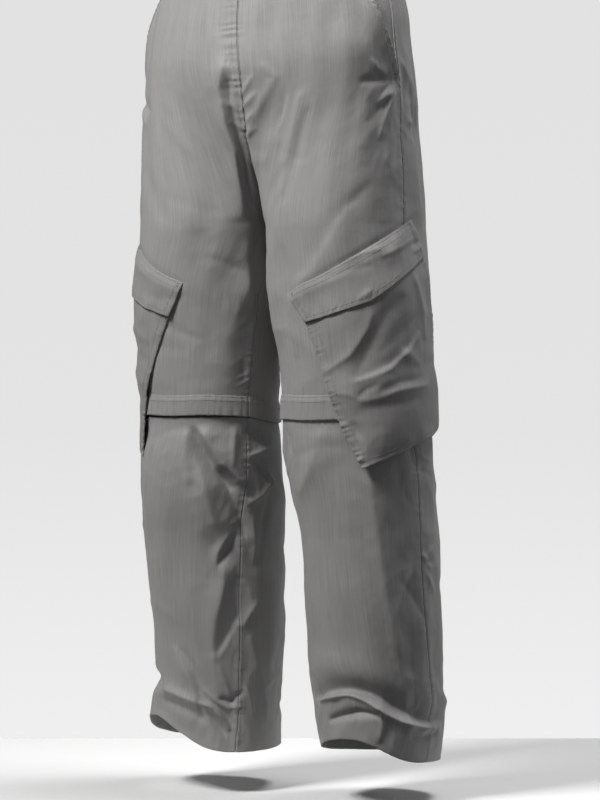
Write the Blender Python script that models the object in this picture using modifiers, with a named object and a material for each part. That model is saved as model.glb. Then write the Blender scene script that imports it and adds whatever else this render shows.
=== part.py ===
# Wide leg cargo trousers with a knee zip, as they hang when worn.
# +Z is up, -Y is the front, +X is the wearer's left. The origin is the middle of the waist opening.
#
# A point on a leg is given by its ring angle and its height. The ring angle is 0 at the front of
# the leg and grows towards the outside; the inseam is at -SEAM_ANGLE, the outseam at SEAM_ANGLE.
# Above the crotch the same angles run along half of the hip, from centre front to centre back.

from collections import namedtuple
from math import radians

import bmesh
import bpy
import numpy as np
from mathutils import Matrix, Vector

# Driving sizes, in metres and degrees
CLOTH = 0.0015
GAP = 0.0003
LAY_GAP = 0.0006
SEAM_ANGLE = 82.0
FULL_TURN = 360.0
WAISTBAND_TOP = 0.0
WAISTBAND_SEAM = -0.040
WAISTBAND_CLOTH = 0.0024
FRONT_DIP = 0.012
BACK_RISE = 0.010
WAIST_LEAN = -0.010
WAIST_LEAN_START = -0.21
WAIST_LEAN_END = -0.09
BLEND_TOP = -0.14
CROTCH_ROW = -0.37
CROTCH_BLEND_END = -0.46
THIGH_END = -0.614
SHIN_START = -0.624
HEM_ROW = {"left": -1.084, "right": -1.080}
HEM_LIFT = {"left": 0.037, "right": 0.048}
HEM_LIFT_REACH = {"left": (78.0, 46.0), "right": (40.0, 58.0)}
KNEE_MIDDLE = -0.610
KNEE_HELD = 0.021
KNEE_RELEASE = 0.024
CENTRE_CLEARANCE = GAP / 2
METRES_PER_DEGREE = 0.00160

# Section of a leg: height, centre outwards and backwards, half width, half depth, outward turn
Section = namedtuple("Section", "height out back half_width half_depth turn")
LEG_SECTIONS = {
    "left": (
        Section(-0.370, 0.0975, 0.006, 0.0965, 0.117, 0),
        Section(-0.460, 0.1045, 0.004, 0.1010, 0.108, 0),
        Section(-0.580, 0.1120, 0.003, 0.0975, 0.096, 0),
        Section(-0.640, 0.1120, 0.006, 0.0985, 0.091, -2),
        Section(-0.700, 0.1150, 0.012, 0.0975, 0.090, -3),
        Section(-0.730, 0.1165, 0.016, 0.0955, 0.090, -3),
        Section(-0.800, 0.1215, 0.026, 0.0915, 0.090, -6),
        Section(-0.880, 0.1215, 0.032, 0.0910, 0.090, -4),
        Section(-0.960, 0.1225, 0.039, 0.0870, 0.091, 2),
        Section(-1.020, 0.1265, 0.041, 0.0815, 0.092, 8),
        Section(-1.090, 0.1310, 0.040, 0.0715, 0.094, 2),
    ),
    "right": (
        Section(-0.370, 0.1020, 0.006, 0.1035, 0.117, 2),
        Section(-0.460, 0.1115, 0.000, 0.1005, 0.104, 10),
        Section(-0.560, 0.1160, 0.002, 0.0940, 0.095, 14),
        Section(-0.605, 0.1155, 0.003, 0.0890, 0.090, 16),
        Section(-0.640, 0.1165, 0.006, 0.0895, 0.088, 18),
        Section(-0.680, 0.1200, 0.010, 0.0960, 0.091, 21),
        Section(-0.730, 0.1215, 0.016, 0.0985, 0.092, 25),
        Section(-0.800, 0.1245, 0.026, 0.0960, 0.090, 30),
        Section(-0.880, 0.1245, 0.032, 0.0935, 0.090, 32),
        Section(-0.960, 0.1255, 0.039, 0.0880, 0.090, 32),
        Section(-1.010, 0.1260, 0.039, 0.0850, 0.089, 31),
        Section(-1.090, 0.1305, 0.032, 0.0905, 0.096, 30),
    ),
}

# Section of the hip on each side: height, half width, front and back depth
HipSection = namedtuple("HipSection", "height half_width front back")
HIP_SECTIONS = {
    "left": (
        HipSection(0.000, 0.1745, 0.110, 0.110),
        HipSection(-0.040, 0.180, 0.115, 0.116),
        HipSection(-0.100, 0.192, 0.122, 0.122),
        HipSection(-0.160, 0.193, 0.127, 0.127),
        HipSection(-0.240, 0.190, 0.127, 0.127),
        HipSection(-0.320, 0.194, 0.124, 0.124),
        HipSection(-0.370, 0.195, 0.122, 0.122),
    ),
    "right": (
        HipSection(0.000, 0.1575, 0.110, 0.110),
        HipSection(-0.040, 0.167, 0.115, 0.116),
        HipSection(-0.100, 0.183, 0.122, 0.122),
        HipSection(-0.160, 0.198, 0.127, 0.127),
        HipSection(-0.240, 0.208, 0.127, 0.127),
        HipSection(-0.320, 0.209, 0.124, 0.124),
        HipSection(-0.370, 0.206, 0.122, 0.122),
    ),
}

# Centre front and centre back seams down to the crotch, then the top of the inseam
CentreSeam = namedtuple("CentreSeam", "row front_y front_z back_y back_z")
CENTRE_SEAM = (
    CentreSeam(0.000, -0.110, 0.000, 0.110, 0.000),
    CentreSeam(-0.100, -0.122, -0.100, 0.122, -0.100),
    CentreSeam(-0.160, -0.127, -0.160, 0.126, -0.160),
    CentreSeam(-0.200, -0.117, -0.200, 0.119, -0.200),
    CentreSeam(-0.250, -0.098, -0.248, 0.101, -0.252),
    CentreSeam(-0.290, -0.076, -0.286, 0.081, -0.290),
    CentreSeam(-0.330, -0.044, -0.322, 0.050, -0.324),
    CentreSeam(-0.355, -0.014, -0.342, 0.026, -0.343),
    CentreSeam(-0.370, 0.010, -0.349, 0.010, -0.349),
    CentreSeam(-0.390, 0.010, -0.372, 0.010, -0.372),
    CentreSeam(-0.420, 0.010, -0.413, 0.010, -0.413),
    CentreSeam(-0.460, 0.010, -0.460, 0.010, -0.460),
)
LEG_SQUARENESS = 2.25
HIP_SQUARENESS = 2.15
FRONT_SEAM_REACH = 26.0
BACK_SEAM_REACH = 30.0

# Largest folds: a line from one place to another, its half width, and its height (ridge) or depth
Fold = namedtuple("Fold", "angle_1 height_1 angle_2 height_2 half_width rise")
FOLDS = {
    "left": (
        Fold(73, -0.177, 28, -0.187, 0.012, -0.006),
        Fold(76, -0.190, 40, -0.255, 0.015, 0.004),
        Fold(-26, -0.200, -23, -0.400, 0.022, 0.004),
        Fold(-15, -0.235, -17, -0.325, 0.016, -0.004),
        Fold(-50, -0.270, -44, -0.500, 0.034, 0.009),
        Fold(33, -0.352, -13, -0.467, 0.018, 0.004),
        Fold(-44, -0.627, -36, -0.665, 0.012, -0.005),
        Fold(10, -0.660, -8, -0.970, 0.036, 0.004),
        Fold(66, -0.700, 62, -0.960, 0.020, -0.004),
        Fold(-32, -1.021, 18, -1.001, 0.013, -0.010),
        Fold(-9, -1.012, 24, -1.034, 0.010, 0.008),
        Fold(-16, -1.052, 16, -1.039, 0.009, -0.006),
        Fold(24, -1.036, 97, -1.041, 0.011, 0.005),
        Fold(135, -0.690, 200, -0.740, 0.018, -0.007),
        Fold(160, -0.800, 235, -0.850, 0.022, -0.007),
        Fold(120, -0.960, 215, -0.990, 0.020, -0.007),
        Fold(150, -0.330, 215, -0.400, 0.022, -0.008),
        Fold(150, -0.270, 215, -0.300, 0.022, 0.006),
    ),
    "right": (
        Fold(-31, -0.633, -74, -0.708, 0.015, -0.012),
        Fold(-22, -0.640, -31, -0.700, 0.014, 0.006),
        Fold(268, -0.637, 249, -0.668, 0.013, -0.011),
        Fold(262, -0.680, 236, -0.706, 0.014, 0.006),
        Fold(-47, -0.725, -66, -0.800, 0.014, 0.005),
        Fold(-66, -0.820, -58, -0.945, 0.016, 0.004),
        Fold(-56, -0.735, -80, -0.815, 0.014, -0.006),
        Fold(42, -1.000, 0, -1.034, 0.012, -0.012),
        Fold(0, -1.036, -35, -1.028, 0.011, -0.009),
        Fold(-35, -1.028, -73, -1.058, 0.010, -0.010),
        Fold(-28, -0.965, -41, -1.005, 0.011, 0.005),
        Fold(-48, -1.014, -72, -1.042, 0.009, 0.006),
        Fold(140, -0.690, 215, -0.740, 0.018, -0.008),
        Fold(150, -0.840, 235, -0.880, 0.022, -0.007),
        Fold(120, -0.980, 215, -1.000, 0.020, -0.008),
        Fold(140, -0.340, 215, -0.400, 0.022, -0.008),
        Fold(140, -0.260, 205, -0.290, 0.022, 0.006),
    ),
}

# Slanted hip pocket: its mouth runs from the waistband seam down to the outseam
POCKET_TOP_ANGLE = 36.5
POCKET_BOTTOM = -0.174
POCKET_FACING_TUCK = 14.0
POCKET_GAPE = {"left": 0.011, "right": 0.006}
POCKET_GAPE_REACH = 16.0

# Fly: a narrow lip along the centre front
FLY_ANGLE = 7.5
FLY_END_ANGLE = 4.0
FLY_BOTTOM = -0.245
FLY_TAPER_START = -0.160
FLY_CLOTH = 0.0010
UNDERLAP_ANGLE = 24.0
UNDERLAP_START = 3.0
UNDERLAP_STEP = 0.006
UNDERLAP_COLUMNS = 4

# Button of the waistband
BUTTON_RADIUS = 0.0088
BUTTON_THICKNESS = 0.0030
BUTTON_RIM = 0.0018
BUTTON_DISH = 0.0008
BUTTON_HOLE_RADIUS = 0.0010
BUTTON_HOLE_SPREAD = 0.0021
BUTTON_ANGLE = -68.0
BUTTON_HEIGHT = -0.019

# Flap that covers the knee zip, and the zip behind it
KNEE_FLAP_TOP = -0.5935
KNEE_FLAP_BOTTOM = {"left": -0.6255, "right": -0.6200}
KNEE_FLAP_SAG = {"left": 0.001, "right": 0.007}
KNEE_FLAP_SAG_ANGLE = 240.0
KNEE_FLAP_SAG_REACH = 55.0
KNEE_FLAP_FLARE = 0.0008
ZIP_TOP = -0.604
ZIP_BOTTOM = -0.632
ZIP_CLOTH = 0.0012

# Cargo pocket and its flap: corners as (ring angle, height), front to back
CARGO_CLOTH = 0.0024
CARGO_BULGE = {"left": 0.0030, "right": 0.0012}
CARGO_EDGE_REACH = 12.0
CARGO_STAND_OFF = {"left": 0.0045, "right": 0.0035}
CARGO_STAND_OFF_START = -0.545
CARGO_STAND_OFF_END = -0.590
CARGO_DROP = -0.620
CargoPocket = namedtuple("CargoPocket", "flap_top flap_bottom front_edge back_edge")
CARGO_POCKETS = {
    "left": CargoPocket(
        flap_top=((-18, -0.460), (90, -0.3615)),
        flap_bottom=((-5, -0.4975), (42, -0.4715), (98, -0.409)),
        front_edge=((-12.5, -0.476), (-5, -0.504), (0, -0.540), (3, -0.572), (8, -0.600), (17, -0.640), (31, -0.688)),
        back_edge=((93.5, -0.381), (136, -0.622)),
    ),
    "right": CargoPocket(
        flap_top=((-16, -0.443), (90, -0.352)),
        flap_bottom=((-10, -0.4865), (44, -0.455), (98, -0.408)),
        front_edge=((-13.5, -0.461), (-9, -0.488), (-4, -0.515), (7, -0.560), (15, -0.590), (22, -0.625), (28, -0.675)),
        back_edge=((93.5, -0.375), (133, -0.620)),
    ),
}
FLAP_ROWS = (0.0, 0.13, 0.30, 0.62, 1.0)
FLAP_RAMP = 0.30
FLAP_CLEARANCE = 0.0009
FLAP_KINK = 0.43

# Colours: linear RGB
CLOTH_GREY = (0.235, 0.235, 0.225, 1.0)
ZIP_GREY = (0.150, 0.150, 0.145, 1.0)
BUTTON_GREY = (0.110, 0.110, 0.105, 1.0)

# Grid of each kind of piece: columns across, rows down
FRONT_COLUMNS = 14
BACK_COLUMNS = 15
THIGH_ROWS = 24
SHIN_ROWS = (
    0.0, 0.022, 0.06, 0.115, 0.17, 0.225, 0.28, 0.335, 0.39, 0.445, 0.50, 0.555,
    0.61, 0.665, 0.72, 0.765, 0.805, 0.84, 0.875, 0.91, 0.945, 0.975, 1.0,
)
WAISTBAND_GRID = (26, 2)
KNEE_FLAP_ROWS = 2
CARGO_GRID = (14, 14)
FLAP_COLUMNS = 15
FLY_GRID = (3, 14)
FACING_GRID = (5, 8)


def smooth_curve(rows, column, at):
    """Monotone cubic through one named column of a table whose first column falls."""
    xs = np.array([row[0] for row in rows], float)[::-1]
    ys = np.array([getattr(row, column) for row in rows], float)[::-1]
    steps = np.diff(xs)
    slopes = np.diff(ys) / steps
    tangents = np.zeros_like(ys)
    tangents[0], tangents[-1] = slopes[0], slopes[-1]
    before, after = 2 * steps[1:] + steps[:-1], steps[1:] + 2 * steps[:-1]
    same_way = slopes[1:] * slopes[:-1] > 0
    blend = before * np.where(same_way, slopes[1:], 1) + after * np.where(same_way, slopes[:-1], 1)
    tangents[1:-1] = np.where(same_way, (before + after) * slopes[1:] * slopes[:-1] / blend, 0)
    at = np.clip(at, xs[0], xs[-1])
    k = np.clip(np.searchsorted(xs, at, side="right") - 1, 0, len(xs) - 2)
    t = (at - xs[k]) / steps[k]
    return (
        (2 * t**3 - 3 * t**2 + 1) * ys[k]
        + (t**3 - 2 * t**2 + t) * steps[k] * tangents[k]
        + (-2 * t**3 + 3 * t**2) * ys[k + 1]
        + (t**3 - t**2) * steps[k] * tangents[k + 1]
    )


def rounded(value, squareness):
    return np.sign(value) * np.abs(value) ** (2.0 / squareness)


def ease(t):
    t = np.clip(t, 0.0, 1.0)
    return t * t * (3.0 - 2.0 * t)


def line_through(points, share):
    """Points at these shares of the way along a short polyline of (angle, height)."""
    knots = np.linspace(0.0, 1.0, len(points))
    angles = np.interp(share, knots, [point[0] for point in points])
    heights = np.interp(share, knots, [point[1] for point in points])
    return angles, heights


def hem_lift(leg, angle):
    """How much the shoe lifts the hem, at the front of the ring."""
    from_front = np.where(angle > FULL_TURN / 2, angle - FULL_TURN, angle)
    inner_reach, outer_reach = HEM_LIFT_REACH[leg]
    reach = np.where(from_front < 0, inner_reach, outer_reach)
    return HEM_LIFT[leg] * np.exp(-((from_front / reach) ** 2))


def plain_surface(leg, angle, height):
    """The leg and its half of the hip without folds, as x outwards, y and z."""
    sections = LEG_SECTIONS[leg]
    column = {name: smooth_curve(sections, name, height) for name in Section._fields[1:]}
    hip = {name: smooth_curve(HIP_SECTIONS[leg], name, height) for name in HipSection._fields[1:]}
    half_angle = np.radians((angle + SEAM_ANGLE) / 2)
    cosine = np.cos(half_angle)
    depth = np.where(cosine > 0, hip["front"], hip["back"])
    hip_x = hip["half_width"] * rounded(np.sin(half_angle), HIP_SQUARENESS)
    hip_y = -depth * rounded(cosine, HIP_SQUARENESS)

    def ring(ring_angle):
        turned = np.radians(ring_angle + column["turn"])
        return (
            column["out"] + column["half_width"] * rounded(np.sin(turned), LEG_SQUARENESS),
            column["back"] - column["half_depth"] * rounded(np.cos(turned), LEG_SQUARENESS),
        )

    leg_x, leg_y = ring(angle)
    seam_x, seam_y = ring(-SEAM_ANGLE)
    to_leg = ease((BLEND_TOP - height) / (BLEND_TOP - CROTCH_ROW))
    x = (1 - to_leg) * hip_x + to_leg * leg_x
    y = (1 - to_leg) * hip_y + to_leg * leg_y

    # Near the centre seams the rings are drawn to the rise curve, whose lowest point is the crotch
    seam = {name: smooth_curve(CENTRE_SEAM, name, height) for name in CentreSeam._fields[1:]}
    near_front = np.exp(-(((angle + SEAM_ANGLE) / FRONT_SEAM_REACH) ** 2))
    near_back = np.exp(-(((FULL_TURN - SEAM_ANGLE - angle) / BACK_SEAM_REACH) ** 2))
    above = height >= CROTCH_ROW - 1e-6
    fade = ease((height - CROTCH_BLEND_END) / (CROTCH_ROW - CROTCH_BLEND_END))
    fade = np.where(above, 1.0, fade)
    front_pull = seam["front_y"] - ((1 - to_leg) * -hip["front"] + to_leg * seam_y)
    back_pull = seam["back_y"] - ((1 - to_leg) * hip["back"] + to_leg * seam_y)
    y = y + fade * (near_front * front_pull + near_back * back_pull)
    x = x - np.where(above, (near_front + near_back) * to_leg * seam_x, 0.0)
    z = height + near_front * (seam["front_z"] - height) + near_back * (seam["back_z"] - height)
    z = np.where(height > CROTCH_BLEND_END, z, height)

    waist_fade = ease((height + 0.12) / 0.12)
    z = z + waist_fade * cosine**2 * np.where(cosine > 0, -FRONT_DIP, BACK_RISE)
    hem_fade = np.clip((SHIN_START - height) / (SHIN_START - HEM_ROW[leg]), 0, 1) ** 1.6
    z = z + hem_fade * hem_lift(leg, angle)
    return np.stack([x, y, z], axis=-1)


def outward(leg, angle, height):
    """Unit normals of the plain surface, straight ahead along the centre seams."""
    step_angle, step_height = 0.5, 0.002
    low = np.clip(angle - step_angle, -SEAM_ANGLE, FULL_TURN - SEAM_ANGLE)
    high = np.clip(angle + step_angle, -SEAM_ANGLE, FULL_TURN - SEAM_ANGLE)
    around = plain_surface(leg, high, height) - plain_surface(leg, low, height)
    down = plain_surface(leg, angle, height - step_height) - plain_surface(leg, angle, height + step_height)
    normal = np.cross(down, around)
    normal /= np.linalg.norm(normal, axis=-1, keepdims=True)
    to_seam = np.minimum(angle + SEAM_ANGLE, FULL_TURN - SEAM_ANGLE - angle)
    straight = np.where(height >= CROTCH_ROW - 1e-6, 1 - ease(to_seam / 6.0), 0.0)
    normal[..., 0] *= 1 - straight
    return normal / np.linalg.norm(normal, axis=-1, keepdims=True)


def fold_rise(leg, angle, height):
    """Sum of the folds: each is a soft ridge or trough along its own line. The knee is held flat."""
    total = np.zeros(np.broadcast(angle, height).shape)
    for fold in FOLDS[leg]:
        run = (fold.angle_2 - fold.angle_1) * METRES_PER_DEGREE
        drop = fold.height_2 - fold.height_1
        for turn in (-FULL_TURN, 0.0, FULL_TURN):
            across = (angle + turn - fold.angle_1) * METRES_PER_DEGREE
            down = height - fold.height_1
            share = np.clip((across * run + down * drop) / (run**2 + drop**2), 0, 1)
            distance = np.hypot(across - share * run, down - share * drop)
            total += fold.rise * np.exp(-((distance / fold.half_width) ** 2))
    return total * ease((np.abs(height - KNEE_MIDDLE) - KNEE_HELD) / KNEE_RELEASE)


def pocket_mouth(height):
    """Ring angle of the slanted mouth of the hip pocket."""
    share = (WAISTBAND_SEAM - height) / (WAISTBAND_SEAM - POCKET_BOTTOM)
    return POCKET_TOP_ANGLE + np.clip(share, 0, 1) * (SEAM_ANGLE - POCKET_TOP_ANGLE)


def cloth_points(leg, angle, height, offset=0.0, drop_from=None):
    """World points on the folded cloth, moved out by offset. Below drop_from the cloth hangs straight."""
    angle, height = np.broadcast_arrays(np.asarray(angle, float), np.asarray(height, float))
    held = height if drop_from is None else np.maximum(height, drop_from)
    points = plain_surface(leg, angle, held)
    points[..., 2] += height - held
    normal = outward(leg, angle, held)
    rise = fold_rise(leg, angle, held) + offset
    points = points + normal * rise[..., None]
    points[..., 0] = np.maximum(points[..., 0], CENTRE_CLEARANCE)
    points[..., 0] *= 1.0 if leg == "left" else -1.0
    lean = ease((points[..., 2] - WAIST_LEAN_START) / (WAIST_LEAN_END - WAIST_LEAN_START))
    points[..., 0] += WAIST_LEAN * lean
    return points


def material_named(name, colour, roughness):
    material = bpy.data.materials.get(name)
    if material is None:
        material = bpy.data.materials.new(name)
        material.use_nodes = True
        shader = material.node_tree.nodes["Principled BSDF"]
        shader.inputs["Base Color"].default_value = colour
        shader.inputs["Roughness"].default_value = roughness
        shader.inputs["Metallic"].default_value = 0.0
    return material


def add_object(name, mesh, colour, roughness):
    part = bpy.data.objects.new(name, mesh)
    mesh.materials.append(material_named(name, colour, roughness))
    trousers.objects.link(part)
    return part


def add_wall(name, outer, inner, colour=CLOTH_GREY, roughness=0.55, closed=False):
    """A closed wall between two grids of points, indexed [column][row]. A closed one is a ring."""
    columns, rows = outer.shape[:2]
    body = bmesh.new()
    skins = [[[body.verts.new(grid[i, j]) for j in range(rows)] for i in range(columns)] for grid in (outer, inner)]
    spans = columns if closed else columns - 1
    for i in range(spans):
        following = (i + 1) % columns
        for skin in skins:
            for j in range(rows - 1):
                body.faces.new((skin[i][j], skin[following][j], skin[following][j + 1], skin[i][j + 1]))
        for j in (0, rows - 1):
            body.faces.new((skins[0][i][j], skins[0][following][j], skins[1][following][j], skins[1][i][j]))
    for i in () if closed else (0, columns - 1):
        for j in range(rows - 1):
            body.faces.new((skins[0][i][j], skins[0][i][j + 1], skins[1][i][j + 1], skins[1][i][j]))
    bmesh.ops.recalc_face_normals(body, faces=body.faces)
    mesh = bpy.data.meshes.new(name)
    body.to_mesh(mesh)
    body.free()
    mesh.shade_smooth()
    mesh.set_sharp_from_angle(angle=radians(50))
    return add_object(name, mesh, colour, roughness)


def leg_wall(name, leg, angle, height, thickness=CLOTH, offset=0.0, drop_from=None, **look):
    outer = cloth_points(leg, angle, height, offset + thickness, drop_from)
    inner = cloth_points(leg, angle, height, offset, drop_from)
    return add_wall(name, outer, inner, **look)


def grid(size, across=(0.0, 1.0), down=(0.0, 1.0)):
    """Shares across and down, as two arrays indexed [column][row]."""
    return np.meshgrid(np.linspace(*across, size[0]), np.linspace(*down, size[1]), indexing="ij")


def seam_gap_angle():
    return GAP / 2 / METRES_PER_DEGREE


def add_thigh(leg):
    """Front and back of the upper leg, from the waistband seam to the knee."""
    edge = seam_gap_angle()
    across, down = grid((FRONT_COLUMNS, THIGH_ROWS))
    bend = (WAISTBAND_SEAM - POCKET_BOTTOM) / (WAISTBAND_SEAM - THIGH_END)
    height = WAISTBAND_SEAM - GAP - down * (WAISTBAND_SEAM - GAP - THIGH_END)
    last = pocket_mouth(height) - edge
    angle = -SEAM_ANGLE + edge + across * (last + SEAM_ANGLE - edge)
    opening = np.clip(down / bend, 0, 1)
    gape = POCKET_GAPE[leg] * np.sin(np.pi * opening) * np.exp(-(((last - angle) / POCKET_GAPE_REACH) ** 2))
    leg_wall("thigh_front_" + leg, leg, angle, height, offset=gape - CLOTH)

    across, down = grid((BACK_COLUMNS, THIGH_ROWS))
    height = WAISTBAND_SEAM - GAP - down * (WAISTBAND_SEAM - GAP - THIGH_END)
    angle = SEAM_ANGLE + edge + across * (FULL_TURN - 2 * SEAM_ANGLE - 2 * edge)
    leg_wall("thigh_back_" + leg, leg, angle, height, offset=-CLOTH)


def add_pocket_facing(leg):
    """The cloth seen inside the mouth of the hip pocket, tucked under the front."""
    edge = seam_gap_angle()
    across, down = grid(FACING_GRID)
    top, bottom = WAISTBAND_SEAM - GAP, POCKET_BOTTOM - 0.012
    height = top + down * (bottom - top)
    first = np.minimum(pocket_mouth(height), SEAM_ANGLE - 2) - POCKET_FACING_TUCK
    angle = first + across * (SEAM_ANGLE - edge - first)
    leg_wall("pocket_facing_" + leg, leg, angle, height, offset=-2 * CLOTH - LAY_GAP)


def add_shin(leg):
    """Front and back of the lower leg, from the knee zip to the hem."""
    edge = seam_gap_angle()
    for name, columns, first, last in (
        ("shin_front_", FRONT_COLUMNS, -SEAM_ANGLE, SEAM_ANGLE),
        ("shin_back_", BACK_COLUMNS, SEAM_ANGLE, FULL_TURN - SEAM_ANGLE),
    ):
        across, down = np.meshgrid(np.linspace(0, 1, columns), SHIN_ROWS, indexing="ij")
        angle = first + edge + across * (last - first - 2 * edge)
        height = SHIN_START + down * (HEM_ROW[leg] - SHIN_START)
        leg_wall(name + leg, leg, angle, height, offset=-CLOTH)


def add_knee(leg):
    """The flap over the knee zip, in a front and a back length, and the zip ring behind it."""
    edge = seam_gap_angle()
    for name, columns, first, last in (
        ("knee_flap_front_", FRONT_COLUMNS, -SEAM_ANGLE, SEAM_ANGLE),
        ("knee_flap_back_", BACK_COLUMNS, SEAM_ANGLE, FULL_TURN - SEAM_ANGLE),
    ):
        across, down = grid((columns, KNEE_FLAP_ROWS))
        angle = first + edge + across * (last - first - 2 * edge)
        sag = np.exp(-(((angle - KNEE_FLAP_SAG_ANGLE) / KNEE_FLAP_SAG_REACH) ** 2))
        sag += np.exp(-(((angle + FULL_TURN - KNEE_FLAP_SAG_ANGLE) / KNEE_FLAP_SAG_REACH) ** 2))
        height = KNEE_FLAP_TOP + down * (KNEE_FLAP_BOTTOM[leg] - KNEE_FLAP_TOP) - KNEE_FLAP_SAG[leg] * sag
        leg_wall(name + leg, leg, angle, height, offset=LAY_GAP + KNEE_FLAP_FLARE * down)

    front = np.linspace(-SEAM_ANGLE, SEAM_ANGLE, FRONT_COLUMNS)[:-1]
    back = np.linspace(SEAM_ANGLE, FULL_TURN - SEAM_ANGLE, BACK_COLUMNS)[:-1]
    angle = np.concatenate([front, back])
    middle = (ZIP_TOP + ZIP_BOTTOM) / 2
    height = np.array([ZIP_TOP, middle, ZIP_BOTTOM])
    angle, height = np.meshgrid(angle, height, indexing="ij")
    level = -CLOTH - LAY_GAP
    outer = cloth_points(leg, angle, height, level)
    inner = cloth_points(leg, angle, height, level - ZIP_CLOTH)
    add_wall("knee_zip_" + leg, outer, inner, colour=ZIP_GREY, roughness=0.5, closed=True)


def edge_angle(edge, height):
    """Ring angle of a near vertical edge at this height."""
    return np.interp(-height, [-point[1] for point in edge], [point[0] for point in edge])


def cargo_lift(leg, angle, height):
    """Distance of the cargo bag from the leg: sewn down at its edges, free below the knee."""
    pocket = CARGO_POCKETS[leg]
    inside = np.minimum(
        angle - edge_angle(pocket.front_edge, height),
        edge_angle(pocket.back_edge, height) - angle,
    )
    swell = ease(inside / (2 * CARGO_EDGE_REACH) + 0.15) * CARGO_BULGE[leg]
    free = ease((CARGO_STAND_OFF_START - height) / (CARGO_STAND_OFF_START - CARGO_STAND_OFF_END))
    return LAY_GAP + swell + free * CARGO_STAND_OFF[leg]


def add_cargo_pocket(leg):
    """The slanted bag and its flap, wrapped round the outside of the leg."""
    pocket = CARGO_POCKETS[leg]
    across, down = grid(CARGO_GRID)
    front_angle, front_height = line_through(pocket.front_edge, down)
    back_angle, back_height = line_through(pocket.back_edge, down)
    angle = front_angle + across * (back_angle - front_angle)
    height = front_height + across * (back_height - front_height)
    lift = cargo_lift(leg, angle, height)
    leg_wall("cargo_bag_" + leg, leg, angle, height, CARGO_CLOTH, lift, CARGO_DROP)

    kink_column = round(FLAP_KINK * (FLAP_COLUMNS - 1))
    before = np.linspace(0, 0.5, kink_column + 1)
    after = np.linspace(0.5, 1, FLAP_COLUMNS - kink_column)[1:]
    across, down = np.meshgrid(np.linspace(0, 1, FLAP_COLUMNS), FLAP_ROWS, indexing="ij")
    low_angle, low_height = line_through(pocket.flap_bottom, np.concatenate([before, after])[:, None] + 0 * down)
    top_angle, top_height = line_through(pocket.flap_top, across)
    angle = top_angle + down * (low_angle - top_angle)
    height = top_height + down * (low_height - top_height)
    over_bag = cargo_lift(leg, angle, height) + CARGO_CLOTH + FLAP_CLEARANCE
    lift = LAY_GAP + ease(down / FLAP_RAMP) * (over_bag - LAY_GAP)
    leg_wall("cargo_flap_" + leg, leg, angle, height, CLOTH, lift, CARGO_DROP)


def add_fly():
    """The stitched lip of the fly, on the left front beside the centre seam."""
    across, down = grid(FLY_GRID)
    top = WAISTBAND_SEAM - GAP
    height = top + down * (FLY_BOTTOM - top)
    taper = np.clip((FLY_TAPER_START - height) / (FLY_TAPER_START - FLY_BOTTOM), 0, 1)
    width = FLY_ANGLE + taper * (FLY_END_ANGLE - FLY_ANGLE)
    angle = -SEAM_ANGLE + seam_gap_angle() + across * width
    leg_wall("fly_lip", "left", angle, height, FLY_CLOTH, LAY_GAP)


def add_waistband():
    """Two lengths that meet at the back; the right one runs on under the left at the fly."""
    edge = seam_gap_angle()
    across, down = grid(WAISTBAND_GRID)
    height = WAISTBAND_TOP + down * (WAISTBAND_SEAM - WAISTBAND_TOP)
    angle = -SEAM_ANGLE + edge + across * (FULL_TURN - 2 * edge)
    level = -CLOTH
    leg_wall("waistband_left", "left", angle, height, WAISTBAND_CLOTH, level)

    outer = cloth_points("right", angle, height, level + WAISTBAND_CLOTH)
    inner = cloth_points("right", angle, height, level)
    under = level - LAY_GAP - WAISTBAND_CLOTH
    step = [cloth_points("right", angle[:1], height[:1], under + thick) for thick in (WAISTBAND_CLOTH, 0.0)]
    for skin in (outer, inner):
        skin[0, :, 0] -= UNDERLAP_STEP
    across, down = grid((UNDERLAP_COLUMNS, WAISTBAND_GRID[1]), across=(1.0, 0.0))
    height = WAISTBAND_TOP + down * (WAISTBAND_SEAM - WAISTBAND_TOP)
    angle = -SEAM_ANGLE + UNDERLAP_START + across * (UNDERLAP_ANGLE - UNDERLAP_START)
    tuck = [cloth_points("left", angle, height, under + thick) for thick in (WAISTBAND_CLOTH, 0.0)]
    skins = [np.concatenate([tuck[i], step[i], skin]) for i, skin in enumerate((outer, inner))]
    add_wall("waistband_right", *skins)


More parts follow.
